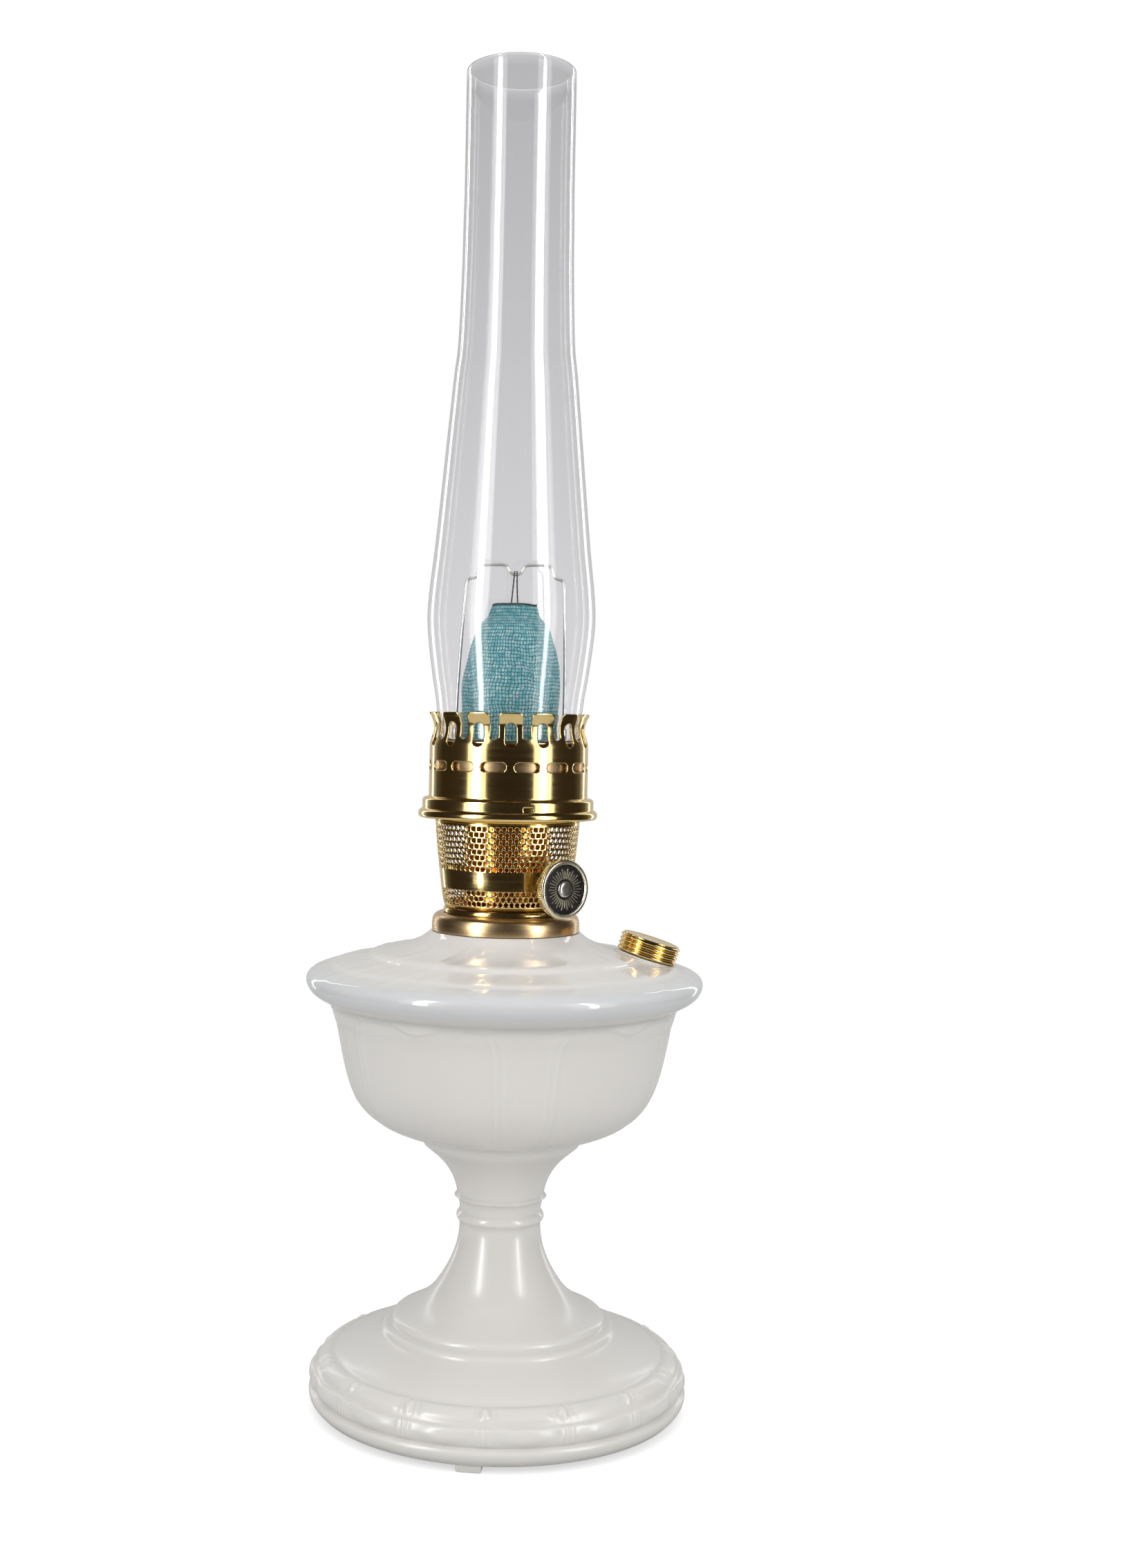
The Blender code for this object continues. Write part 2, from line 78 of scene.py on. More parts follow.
camera = bpy.data.objects.new("camera", bpy.data.cameras.new("camera"))
bpy.context.scene.collection.objects.link(camera)
camera.location = (0, -CAMERA_DISTANCE, CAMERA_HEIGHT)
camera.rotation_euler = (math.pi / 2, math.radians(CAMERA_ROLL), 0)
camera.data.lens = LENS_MM
camera.data.sensor_width = 36
camera.data.shift_x, camera.data.shift_y = LENS_SHIFT
camera.data.clip_start = 0.01
bpy.context.scene.camera = camera
print("camera at", tuple(round(v, 3) for v in camera.location))

# %% [markdown]
# ## Shader nodes
# Every surface, and the room itself, is a small net of shader nodes. Two helpers write such nets in few
# words: one adds a node with its settings and links, and one adds a ramp of colours.

# %% Node helpers


def add_node(tree, kind, **given):
    """Adds a shader node. Each name given is one of its inputs, with spaces written as underscores, or at_6
    for the input of that number, or else a setting. A socket is linked in, and any other value is set."""
    made = tree.nodes.new("ShaderNode" + kind)
    for name, value in given.items():
        spoken = name.replace("_", " ")
        if not name.startswith("at_") and spoken not in made.inputs:
            setattr(made, name, value)
            continue
        socket = made.inputs[int(name[3:])] if name.startswith("at_") else made.inputs[spoken]
        if isinstance(value, bpy.types.NodeSocket):
            tree.links.new(value, socket)
        else:
            socket.default_value = value
    return made


def colour_ramp(tree, measure, stops, between="LINEAR"):
    """The colour of a measure that runs from 0 to 1, mixed between stops given as (position, colour)."""
    ramp = add_node(tree, "ValToRGB", Fac=measure)
    ramp.color_ramp.interpolation = between
    while len(ramp.color_ramp.elements) < len(stops):
        ramp.color_ramp.elements.new(1.0)
    for element, (position, colour) in zip(ramp.color_ramp.elements, stops):
        element.position, element.color = position, (*colour, 1)
    return ramp.outputs["Color"]


def mix_colours(tree, share, first, second):
    """The first colour where the share is 0, the second where it is 1."""
    return add_node(tree, "Mix", data_type="RGBA", Factor=share, at_6=first, at_7=second).outputs[2]


def span(tree, value, low, high, **more):
    """A value carried from the range low to high onto 0 to 1, or onto To_Min to To_Max."""
    return add_node(tree, "MapRange", Value=value, From_Min=low, From_Max=high, **more).outputs["Result"]


# %% [markdown]
# ## Light
# Polished brass shows its surroundings more than its own colour. Two tall strip lights left and right give
# the bright upright bands, a dark room in front gives the brown between them, and a white backdrop behind
# shows at the edges. The world holds the room: bright behind and above, dark in front.

# %% Lights, room and floor
STRIP_ANGLES = {-1: 46, 1: 50}
STRIP_DISTANCE, STRIP_MIDDLE, STRIP_TALL = 1.3, 0.54, 1.42
CORE_WIDTHS, CORE_STRENGTH = {-1: 0.20, 1: 0.13}, 34.0
GLOW_WIDTH, GLOW_POWER = 0.66, 5.6
EDGE_ANGLE, EDGE_WIDTH, EDGE_POWER = 140, 0.08, 1.3


def area_light(name, place, size, power):
    """An area light that faces the middle of the lamp."""
    data = bpy.data.lights.new(name, "AREA")
    data.shape = "RECTANGLE"
    data.size, data.size_y = size
    data.energy = power
    light = bpy.data.objects.new(name, data)
    bpy.context.scene.collection.objects.link(light)
    light.location = place
    aim = np.array([0, 0, CAMERA_HEIGHT]) - np.array(place)
    yaw = math.atan2(-aim[0], aim[1])
    pitch = math.atan2(aim[2], math.hypot(aim[0], aim[1]))
    light.rotation_euler = (math.pi / 2 + pitch, 0, yaw)
    return light


def at_side(side, degrees):
    """The place of a strip that stands at an angle from the front, on one side."""
    turn = math.radians(degrees) * side
    return np.array([STRIP_DISTANCE * math.sin(turn), -STRIP_DISTANCE * math.cos(turn), STRIP_MIDDLE])


for side, name in ((-1, "left"), (1, "right")):
    spot = at_side(side, STRIP_ANGLES[side])
    area_light(f"strip_{name}", spot, (GLOW_WIDTH, STRIP_TALL), GLOW_POWER)
    core = area_light(f"strip_core_{name}", 0.98 * spot, (CORE_WIDTHS[side], STRIP_TALL),
                      CORE_STRENGTH * CORE_WIDTHS[side] * STRIP_TALL)
    edge = area_light(f"edge_strip_{name}", at_side(side, EDGE_ANGLE), (EDGE_WIDTH, STRIP_TALL), EDGE_POWER)
    core.visible_diffuse = edge.visible_diffuse = False
overhead = area_light("overhead", (0, -0.25, 1.6), (1.2, 1.2), 6)
overhead.visible_glossy = False


def room_world():
    """Depth is 0 straight to the front and 1 straight back; rise grows with the height of a direction. What
    shines back in gloss is a dark, warm room with a grey wall behind. Matt surfaces get an even, soft light
    from the front, clear glass shows a pale grey that darkens upward, and the camera sees plain white."""
    world = bpy.data.worlds.new("room")
    bpy.context.scene.world = world
    world.use_nodes = True
    tree = world.node_tree
    split = add_node(tree, "SeparateXYZ", Vector=add_node(tree, "TexCoord").outputs["Generated"])
    depth = span(tree, split.outputs["Y"], -1, 1)
    rise = span(tree, split.outputs["Z"], -0.05, 0.35)
    colour = colour_ramp(tree, depth, [(0.0, (0.95, 0.93, 0.91)), (0.45, (0.68, 0.67, 0.66)),
                                       (0.8, (0.65, 0.645, 0.65))])
    pale = colour_ramp(tree, rise, [(0.0, (0.82, 0.81, 0.82)), (1.0, (0.50, 0.495, 0.505))])
    gloss = colour_ramp(tree, depth, [(0.0, (0.018, 0.013, 0.008)), (0.68, (0.030, 0.022, 0.014)),
                                      (0.79, (0.09, 0.08, 0.065)), (0.90, (0.58, 0.58, 0.57))])
    ray = add_node(tree, "LightPath").outputs
    colour = mix_colours(tree, ray["Is Glossy Ray"], colour, gloss)
    colour = mix_colours(tree, ray["Is Transmission Ray"], colour, pale)
    colour = mix_colours(tree, ray["Is Camera Ray"], colour, (1, 1, 1, 1))
    tree.links.new(colour, tree.nodes["Background"].inputs["Color"])


room_world()
bpy.context.scene.view_settings.view_transform = "Standard"

floor_mesh = bpy.data.meshes.new("floor")
FLOOR_HALF = 0.5
floor_mesh.from_pydata([(x * FLOOR_HALF, y * FLOOR_HALF, 0) for x, y in ((-1, -1), (1, -1), (1, 1), (-1, 1))],
                       [], [(0, 1, 2, 3)])
floor = bpy.data.objects.new("floor", floor_mesh)
bpy.context.scene.collection.objects.link(floor)
floor_paint = bpy.data.materials.new("white_paper")
floor_paint.use_nodes = True
tree = floor_paint.node_tree
paper = tree.nodes["Principled BSDF"].inputs
paper["Base Color"].default_value = (0.55, 0.55, 0.55, 1)
paper["Roughness"].default_value = 0.9
paper["Emission Color"].default_value = (1, 1, 1, 1)
seen = add_node(tree, "LightPath").outputs["Is Camera Ray"]
glow = add_node(tree, "Math", operation="MULTIPLY", at_0=seen, at_1=0.6)
tree.links.new(glow.outputs[0], paper["Emission Strength"])
floor_mesh.materials.append(floor_paint)

# %% [markdown]
# ## Shapes from grids
# Nearly every piece of a lamp is turned, drawn or bent. So three helpers carry the work: one lays a grid of
# points into a mesh, one spins a profile round the lamp's axis, and one carries a round section along a path.

# %% Mesh helpers


def smooth_run(points, steps):
    """Catmull-Rom spline in words: between two points the curve leaves along half the step from the point
    before to the point after, and arrives the same way; a cubic joins the two. Returns an array of points."""
    p = np.asarray(points, float)
    p = np.vstack([2 * p[0] - p[1], p, 2 * p[-1] - p[-2]])
    t = (np.arange(steps) / steps)[None, :, None]
    a, b, c, d = (p[i:len(p) - 3 + i, None, :] for i in range(4))
    bend, twist = 2 * a - 5 * b + 4 * c - d, 3 * b - a - 3 * c + d
    curve = 0.5 * (2 * b + (c - a) * t + bend * t ** 2 + twist * t ** 3)
    return np.vstack([curve.reshape(-1, p.shape[1]), p[-2][None]])


def soft_corners(points, radius, steps=3):
    """Rounds each inner corner of a closed outline: a quadratic arc runs from a point one radius before the
    corner, drawn by the corner, to a point one radius after it, and never past a third of a side."""
    p = np.asarray(points, float)
    before, after = np.roll(p, 1, 0) - p, np.roll(p, -1, 0) - p
    reach = [np.minimum(radius / np.linalg.norm(v, axis=1), 0.33)[:, None] for v in (before, after)]
    start, end = p + before * reach[0], p + after * reach[1]
    t = np.linspace(0, 1, steps)[None, :, None]
    arc = (1 - t) ** 2 * start[:, None] + 2 * t * (1 - t) * p[:, None] + t ** 2 * end[:, None]
    return arc.reshape(-1, 2)


def mesh_piece(name, verts, faces, body, finish, stands_for=(), uv=None):
    """Puts points in millimetres and faces in a mesh, merges doubles, turns its faces outward and hands it
    to the frame: which body it moves with, which finish it takes and which plain solid it stands for."""
    mesh = bpy.data.meshes.new(name)
    mesh.from_pydata((np.asarray(verts) * MM).tolist(), [], faces)
    if uv is not None:
        layer = mesh.uv_layers.new(name="weave")
        corner = np.empty(len(mesh.loops), np.int32)
        mesh.loops.foreach_get("vertex_index", corner)
        layer.data.foreach_set("uv", uv[corner].ravel())
    shape = bmesh.new()
    shape.from_mesh(mesh)
    bmesh.ops.remove_doubles(shape, verts=shape.verts, dist=0.000002)
    bmesh.ops.recalc_face_normals(shape, faces=shape.faces)
    shape.to_mesh(mesh)
    shape.free()
    mesh.shade_smooth()
    mesh.set_sharp_from_angle(angle=math.radians(38))
    obj = bpy.data.objects.new(name, mesh)
    bpy.context.scene.collection.objects.link(obj)
    mesh.materials.append(finish)
    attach(obj, body)
    if stands_for:
        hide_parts(*stands_for)
    print(f"{name}: {len(mesh.polygons)} faces, rides on {body}")
    return obj


def grid_faces(rows, columns, close_rows=False, close_columns=True, keep=None):
    """Quads between neighbouring points of a rows x columns grid; keep is a mask of the quads to make."""
    i = np.arange(rows if close_rows else rows - 1)
    j = np.arange(columns if close_columns else columns - 1)
    i, j = (g.ravel() for g in np.meshgrid(i, j, indexing="ij"))
    if keep is not None:
        i, j = i[keep.ravel()], j[keep.ravel()]
    up, on = (i + 1) % rows, (j + 1) % columns
    return np.stack([i * columns + j, i * columns + on, up * columns + on, up * columns + j], 1).tolist()


def turns_of(count):
    return np.arange(count) * 2 * np.pi / count


def spin(profile, turns):
    """A surface of revolution: point (radius, height) of the profile goes to radius times (sin, -cos) of
    each turn, at that height."""
    r, z = np.asarray(profile, float).T
    return np.stack([r[:, None] * np.sin(turns), -r[:, None] * np.cos(turns), z[:, None] + 0 * turns], 2)


def lathe(name, outline, body, finish, stands_for=(), sides=128, tilt=None, closed=True):
    """A turned piece from a closed outline, or from one whose ends lie on the axis; tilt carries it off."""
    grid = spin(outline, turns_of(sides))
    points = grid.reshape(-1, 3)
    if tilt is not None:
        points = tilt(points)
    faces = grid_faces(len(outline), sides, close_rows=closed)
    return mesh_piece(name, points, faces, body, finish, stands_for)


def sweep(name, path, radius, body, finish, stands_for=(), sides=16, taper=None):
    """A round wire: at each point of the path a circle lies square to the path. Its two directions are
    the cross product of the path's direction with a fixed side vector, and with the result of that."""
    path = np.asarray(path, float)
    along = np.gradient(path, axis=0)
    along /= np.linalg.norm(along, axis=1)[:, None]
    side = np.cross(along, [0.0, 1.0, 0.0])
    side /= np.linalg.norm(side, axis=1)[:, None]
    over = np.cross(along, side)
    turn = turns_of(sides)
    size = radius if taper is None else (radius * taper)[:, None, None]
    ring = np.cos(turn)[None, :, None] * side[:, None] + np.sin(turn)[None, :, None] * over[:, None]
    points = (path[:, None] + size * ring).reshape(-1, 3)
    faces = grid_faces(len(path), sides)
    last = (len(path) - 1) * sides
    faces += [list(range(sides)), list(range(last, last + sides))]
    return mesh_piece(name, points, faces, body, finish, stands_for)


# %% [markdown]
# ## Finishes
# Real brass is never one flat colour: it carries faint draw lines, fingerprints and slow tarnish. One shared
# node group gives these to every metal: noise stretched along the piece, mixed into colour and roughness.

# %% Shared wear group


def wear_group():
    """Group 'hand_wear': a slow cloud tints the colour, and a finer one varies the roughness."""
    group = bpy.data.node_groups.new("hand_wear", "ShaderNodeTree")
    face = group.interface
    for name, kind in (("Clean", "Color"), ("Worn", "Color"), ("Roughness", "Float"), ("Spread", "Float"),
                       ("Scale", "Float"), ("Stretch", "Vector")):
        face.new_socket(name, in_out="INPUT", socket_type=f"NodeSocket{kind}")
    for name, kind in (("Colour", "Color"), ("Roughness", "Float"), ("Height", "Float")):
        face.new_socket(name, in_out="OUTPUT", socket_type=f"NodeSocket{kind}")
    given, out = group.nodes.new("NodeGroupInput").outputs, group.nodes.new("NodeGroupOutput").inputs
    place = add_node(group, "TexCoord").outputs["Object"]
    stretched = add_node(group, "Mapping", Vector=place, Scale=given["Stretch"])
    cloud = add_node(group, "TexNoise", Vector=place, Scale=given["Scale"])
    fine = add_node(group, "TexNoise", Vector=stretched.outputs["Vector"], Scale=1.0, Detail=6.0)
    patchy = span(group, cloud.outputs["Fac"], 0.42, 0.75)
    rough = add_node(group, "Math", operation="MULTIPLY_ADD", at_0=fine.outputs["Fac"], at_1=given["Spread"],
                     at_2=given["Roughness"])
    group.links.new(mix_colours(group, patchy, given["Clean"], given["Worn"]), out["Colour"])
    group.links.new(rough.outputs["Value"], out["Roughness"])
    group.links.new(fine.outputs["Fac"], out["Height"])
    return group


HAND_WEAR = wear_group()
print("shared group:", HAND_WEAR.name)

# %% Material helper


def finish(name, **sockets):
    """A Principled material; each keyword sets one of its sockets, with spaces written as underscores.
    The plain solids came with a material of the same name, which steps aside first."""
    if name in bpy.data.materials:
        bpy.data.materials[name].name = "plain_" + name
    material = bpy.data.materials.new(name)
    material.use_nodes = True
    shader = material.node_tree.nodes["Principled BSDF"]
    for key, value in sockets.items():
        socket = shader.inputs[key.replace("_", " ")]
        is_colour = socket.type == "RGBA"
        socket.default_value = (*value, 1) if is_colour else value
    return material


def worn(material, clean, tired, roughness, spread, scale, stretch, relief=0.0):
    """Places the wear group in a material, with this finish's own two colours, roughness and grain."""
    tree = material.node_tree
    shader = tree.nodes["Principled BSDF"].inputs
    wear = add_node(tree, "Group", node_tree=HAND_WEAR, Clean=(*clean, 1), Worn=(*tired, 1), Scale=scale,
                    Roughness=roughness, Spread=spread, Stretch=stretch).outputs
    tree.links.new(wear["Colour"], shader["Base Color"])
    tree.links.new(wear["Roughness"], shader["Roughness"])
    if relief:
        bump = add_node(tree, "Bump", Strength=relief, Distance=0.0001, Height=wear["Height"])
        tree.links.new(bump.outputs["Normal"], shader["Normal"])
    return material


# %% Metals
polished_brass = worn(finish("polished_brass", Metallic=1.0), (0.86, 0.66, 0.30), (0.78, 0.56, 0.22),
                      0.07, 0.12, 60, (40, 40, 900), 0.10)
satin_brass = worn(finish("satin_brass", Metallic=1.0), (0.68, 0.49, 0.27), (0.58, 0.41, 0.22),
                   0.22, 0.12, 50, (60, 60, 1500), 0.2)
nickel_brass = worn(finish("nickel_brass", Metallic=1.0), (0.76, 0.72, 0.58), (0.62, 0.57, 0.42),
                    0.16, 0.2, 150, (400, 400, 400), 0.2)
steel = worn(finish("steel", Metallic=1.0), (0.66, 0.65, 0.62), (0.45, 0.43, 0.40),
             0.15, 0.15, 200, (300, 300, 300), 0.2)


def painted_inner_glow(material, radius, glow_colour):
    """Painted glow: brass nearer the axis than the radius turns orange, for light bouncing inside the burner.
    """
    tree = material.node_tree
    colour = tree.nodes["Principled BSDF"].inputs["Base Color"]
    place = add_node(tree, "TexCoord").outputs["Object"]
    flat = add_node(tree, "VectorMath", operation="MULTIPLY", at_0=place, at_1=(1, 1, 0))
    reach = add_node(tree, "VectorMath", operation="LENGTH", at_0=flat.outputs[0])
    inside = add_node(tree, "Math", operation="LESS_THAN", at_0=reach.outputs["Value"], at_1=radius)
    bare = colour.links[0].from_socket
    tree.links.new(mix_colours(tree, inside.outputs[0], bare, (*glow_colour, 1)), colour)


# Painted glow inside the burner, in place of light bouncing between its brass walls.
painted_inner_glow(polished_brass, 0.0275, (0.85, 0.40, 0.07))
print("metals:", polished_brass.name, satin_brass.name, nickel_brass.name, steel.name)

# %% [markdown]
# Opal glass is milky all through: light goes in, scatters and comes out softly, while the skin stays glossy.
# Where the wall ends in a thin rim it turns faintly blue, and there the fire has polished it; lower down the
# skin keeps a little of the mould's grain, so shine grows softer toward the foot. Clear glass only bends
# light; the faint grey in its colour is painted shade, as the real chimney glass is clear.

# %% Glass
opal_glass = finish("opal_glass", IOR=1.5, Coat_Weight=0.0, Subsurface_Weight=0.35,
                    Subsurface_Scale=0.006, Subsurface_Radius=(1.0, 1.0, 1.1))
tree = opal_glass.node_tree
opal = tree.nodes["Principled BSDF"].inputs
height = add_node(tree, "SeparateXYZ", Vector=add_node(tree, "TexCoord").outputs["Object"]).outputs["Z"]
WARM_MILK, BLUE_MILK = (0.655, 0.645, 0.625), (0.55, 0.565, 0.575)
milk = colour_ramp(tree, span(tree, height, 0.180, 0.205), [(0.22, WARM_MILK), (0.48, BLUE_MILK),
                                                            (0.72, BLUE_MILK), (0.95, WARM_MILK)], "EASE")
tree.links.new(milk, opal["Base Color"])
tree.links.new(span(tree, height, 0.0, 0.19, To_Min=0.26, To_Max=0.07), opal["Roughness"])

# Painted shade: the grey base colour dims the clear glass, which has no tint of its own.
clear_glass = finish("clear_glass", Base_Color=(0.96, 0.96, 0.965), Roughness=0.0, IOR=1.47,
                     Transmission_Weight=1.0)
print("glass:", opal_glass.name, clear_glass.name)

# %% Small finishes
plaster = worn(finish("plaster"), (0.80, 0.78, 0.72), (0.70, 0.67, 0.60), 0.8, 0.1, 200, (500, 500, 500), 0.4)
rubber = worn(finish("rubber"), (0.05, 0.05, 0.05), (0.08, 0.08, 0.07), 0.7, 0.2, 200, (600, 600, 600), 0.3)
wick_cotton = worn(finish("wick_cotton"), (0.85, 0.83, 0.76), (0.74, 0.70, 0.60), 0.9, 0.1, 150,
                   (300, 300, 2500), 0.9)
black_thread = worn(finish("black_thread"), (0.03, 0.03, 0.03), (0.06, 0.055, 0.05), 0.7, 0.2, 400,
                    (900, 900, 2500), 0.8)
black_enamel = worn(finish("black_enamel", Specular_IOR_Level=0.15), (0.010, 0.008, 0.009),
                    (0.018, 0.015, 0.015), 0.38, 0.1, 200, (500, 500, 500), 0.1)
FINISHES = {m.name: m for m in (polished_brass, satin_brass, nickel_brass, steel, opal_glass, clear_glass,
                                plaster, rubber, wick_cotton, black_thread, black_enamel)}
for entry in frame["record"]["subparts"]:
    solid = bpy.data.objects[entry["node"]]
    if entry["material_slot"] in FINISHES:
        solid.data.materials.clear()
        solid.data.materials.append(FINISHES[entry["material_slot"]])

# %% [markdown]
# ## The font
# Bowl, stem and foot are one pressing of glass. It is turned in outline, but the mould also pressed low
# relief into it: paired ribs and hanging drapery under the rim, and a border of bars, beads and ovals on the
# foot. So the piece is a spun grid whose points are then moved outward by a relief height.

# %% Font outline
SHOULDER = smooth_run([(34.4, 217.5), (35.9, 216.2), (39, 213.9), (42.1, 212.3), (47.8, 210.3), (54, 209.0),
                       (59.3, 208.2), (62.2, 207.2), (63.6, 206.0)], 2)
LEDGES = np.vstack([smooth_run([(65.5, 205.5), (72, 204.2), (77.8, 203.1), (79.4, 202.5)], 2),
                    smooth_run([(80.4, 201.8), (84.2, 200.9), (87.6, 199.7), (89.6, 198.4), (90.8, 196.8),
                                (91.1, 194.9), (90.5, 192.6), (88.9, 190.1), (86.7, 188.3), (84.0, 186.8),
                                (81.0, 185.1), (79.6, 183.2)], 2)])
BOWL = np.vstack([smooth_run([(79.2, 182.4), (78.3, 178.8), (77.1, 175.5)], 6),
                  smooth_run([(76.2, 171.5), (74.8, 164.5), (73.2, 157), (71.2, 149.6), (68.3, 142.5),
                              (63.4, 136), (59.5, 132.6), (55.9, 130.0), (49.3, 127.0), (41.5, 124.9)], 2)])
STEP = smooth_run([(37.3, 124.2), (36.9, 122.0), (35.6, 119.5), (30.2, 115.0), (25.9, 110.5), (22.5, 105.2),
                   (20.6, 100.0), (20.1, 97.0)], 2)
RIDGES = np.vstack([smooth_run([(20.5, 96.4), (21.3, 95.7), (20.3, 94.9), (19.2, 93.4), (18.8, 91.0),
                                (18.8, 89.2)], 2),
                    smooth_run([(19.3, 88.6), (20.0, 87.6), (20.2, 86.6), (20.0, 85.6), (19.2, 84.5)], 2)])
STEM = smooth_run([(18.7, 83.6), (18.8, 80.0), (19.6, 74.5), (21.3, 69.0), (24.3, 62.4), (29.7, 54.0),
                   (34.8, 49.0), (41.0, 45.0), (46.6, 42.3)], 2)
BELL = np.vstack([smooth_run([(47.7, 41.7), (48.4, 41.0), (48.8, 40.1), (48.8, 39.2)], 2),
                  smooth_run([(49.3, 38.5), (50.6, 38.1), (52.0, 37.6), (53.0, 36.8), (53.5, 35.8)], 2),
                  smooth_run([(54.6, 34.9), (60.5, 32.5), (68.0, 29.3), (74.0, 26.3)], 2)])
BORDER = smooth_run([(75.2, 25.2), (77.0, 24.7), (79.4, 23.4), (81.6, 21.6), (83.0, 19.6)], 3)
OVALS = smooth_run([(83.6, 19.0), (84.6, 18.4), (85.2, 16.6), (85.5, 14.6), (85.3, 12.6), (84.5, 11.0)], 3)
FOOT_RIM = smooth_run([(85.0, 10.5), (86.0, 9.6), (86.4, 8.3), (86.0, 6.2), (84.9, 4.5), (83.4, 3.0)], 2)
UNDERSIDE = smooth_run([(79.5, 3.0), (77.5, 13), (70, 21.5), (50, 31), (36, 39), (28, 46), (15, 56),
                        (6, 59.5), (0, 60)], 1)
CAVITY = smooth_run([(0, 122), (20, 122), (36, 124), (50, 130.5), (66, 145), (71.5, 165), (76, 180.5),
                     (86, 190.5), (84, 196), (60, 202.4), (42, 207.2), (33, 211.8)], 1)
NECK = [(28.0, 213.5), (28.0, 221.0), (30.5, 221.0), (30.5, 217.6)]

runs = [CAVITY, np.array(NECK), SHOULDER, LEDGES, BOWL, STEP, RIDGES, STEM, BELL, BORDER, OVALS, FOOT_RIM,
        UNDERSIDE]
font_outline = np.vstack(runs)
starts = np.cumsum([0] + [len(run) for run in runs])
print("font outline:", len(font_outline), "points")

# %% Relief on the bowl
RIB_FOLD, RIB_TURN, RIB_HALF = 72.0, 7.8, 8.6
RIB_HEIGHT, DRAPE_HEIGHT = 0.38, 0.75


def ease(x):
    """Smoothstep: 0 below 0, 1 above 1, and 3x squared minus 2x cubed between."""
    x = np.clip(x, 0, 1)
    return x * x * (3 - 2 * x)


def around(turns, fold, centre):
    """Degrees from the nearest of the evenly spaced centres, from minus half a fold to plus half."""
    return (np.degrees(turns) - centre + fold / 2) % fold - fold / 2


def bowl_relief(turns, height):
    """Two thin ridges run up each side of a panel and part a little at the top. Above a hanging line the
    surface stands one step out; between panels that line sags once, with a small knot at its lowest point."""
    off = np.abs(around(turns, RIB_FOLD, RIB_TURN))[None, :]
    z = height[:, None]
    edge = RIB_HALF + 2.4 * ease((z - 170) / 13)
    pair = np.exp(-((off - edge - 1.4) / 0.95) ** 2) + np.exp(-((off - edge + 1.4) / 0.85) ** 2)
    fade = ease((z - 128) / 14) * ease((183.4 - z) / 5)
    line = 183.0 - 3.6 * np.exp(-((off - 36) / 7.0) ** 4) - 1.0 * np.exp(-((off - RIB_HALF - 4) / 3.0) ** 2)
    drape = ease((z - line) / 1.5) * ease((184.5 - z) / 2) * ease((off - RIB_HALF - 1) / 3)
    knot = 0.3 * np.exp(-((off - 36) / 2.2) ** 2 - ((z - 179.8) / 1.4) ** 2)
    return RIB_HEIGHT * fade * pair + DRAPE_HEIGHT * drape + knot


# %% Ripple of the chilled glass
RIPPLES = ((19, 0.3, 0.05), (31, 1.1, 0.045), (44, 2.3, 0.04), (67, 0.7, 0.025))


def shoulder_ripple(turns, radius):
    """Glass chills as it fills the mould, so the shoulder keeps faint waves that run outward from the neck:
    a sum of sines around the axis whose phase drifts with the radius."""
    wave = sum(high * np.sin(count * turns[None, :] + start + 0.11 * count / 19 * radius[:, None])
               for count, start, high in RIPPLES)
    return wave * ease((radius[:, None] - 35) / 6)


# %% Relief on the foot
BORDER_FOLD, BEAD_TURN, OVAL_TURN = 24.0, -3.4, -15.4
ARC_PER_DEGREE = math.radians(1) * 81
BAR_HEIGHT, BEAD_HEIGHT, OVAL_HEIGHT = 0.75, 1.2, 0.9


def border_relief(turns, across):
    """Between beads run round-ended bars; each bead is a low dome with a thin reel at either side."""
    arc = (around(turns, BORDER_FOLD, BEAD_TURN) * ARC_PER_DEGREE)[None, :]
    t = across[:, None]
    hump = ease((1 - np.abs(t - 0.52) / 0.46) * 1.35)
    bar = hump * ease((np.abs(arc) - 4.4) / 2.0)
    bead = ease((1 - np.hypot(arc / 2.7, (t - 0.52) / 0.38)) * 1.3)
    reel = 0.7 * hump * np.exp(-((np.abs(arc) - 3.6) / 0.75) ** 2)
    return np.maximum(np.maximum(BAR_HEIGHT * bar, BEAD_HEIGHT * bead), BAR_HEIGHT * reel)


def oval_relief(turns, across):
    """A low oval under each bar, and three short reeds under each bead."""
    arc = (around(turns, BORDER_FOLD, OVAL_TURN) * ARC_PER_DEGREE)[None, :]
    t = across[:, None]
    oval = ease((1 - np.hypot(arc / 12.5, (t - 0.48) / 0.48)) * 1.5)
    reed_arc = np.abs((around(turns, BORDER_FOLD, BEAD_TURN) * ARC_PER_DEGREE)[None, :])
    reeds = np.exp(-(reed_arc / 0.8) ** 2) + np.exp(-((reed_arc - 2.2) / 0.8) ** 2)
    return OVAL_HEIGHT * oval + 0.45 * reeds * ease(t / 0.2) * ease((1 - t) / 0.2)


# %% Build the font
FOLD_COLUMNS, FOLDS = 30, 15
even = np.arange(FOLD_COLUMNS) / FOLD_COLUMNS - 0.5
crowded = even - 0.105 * np.sin(2 * np.pi * even)
font_turns = (crowded[None, :] * BORDER_FOLD + np.arange(FOLDS)[:, None] * BORDER_FOLD + BEAD_TURN).ravel()
font_turns = np.radians(font_turns)

relief = np.zeros((len(font_outline), len(font_turns)))


def rows_of(index):
    return slice(starts[index], starts[index + 1])


relief[rows_of(2)] = shoulder_ripple(font_turns, font_outline[rows_of(2), 0])
relief[rows_of(3)] = bowl_relief(font_turns, font_outline[rows_of(3), 1])
relief[rows_of(3)] *= (font_outline[rows_of(3), 1] < 186)[:, None]
relief[rows_of(3)] += shoulder_ripple(font_turns, font_outline[rows_of(3), 0]) * (
    font_outline[rows_of(3), 1] > 199)[:, None]
relief[rows_of(4)] = bowl_relief(font_turns, font_outline[rows_of(4), 1])
relief[rows_of(9)] = border_relief(font_turns, np.linspace(0, 1, len(BORDER)))
relief[rows_of(10)] = oval_relief(font_turns, np.linspace(0, 1, len(OVALS)))

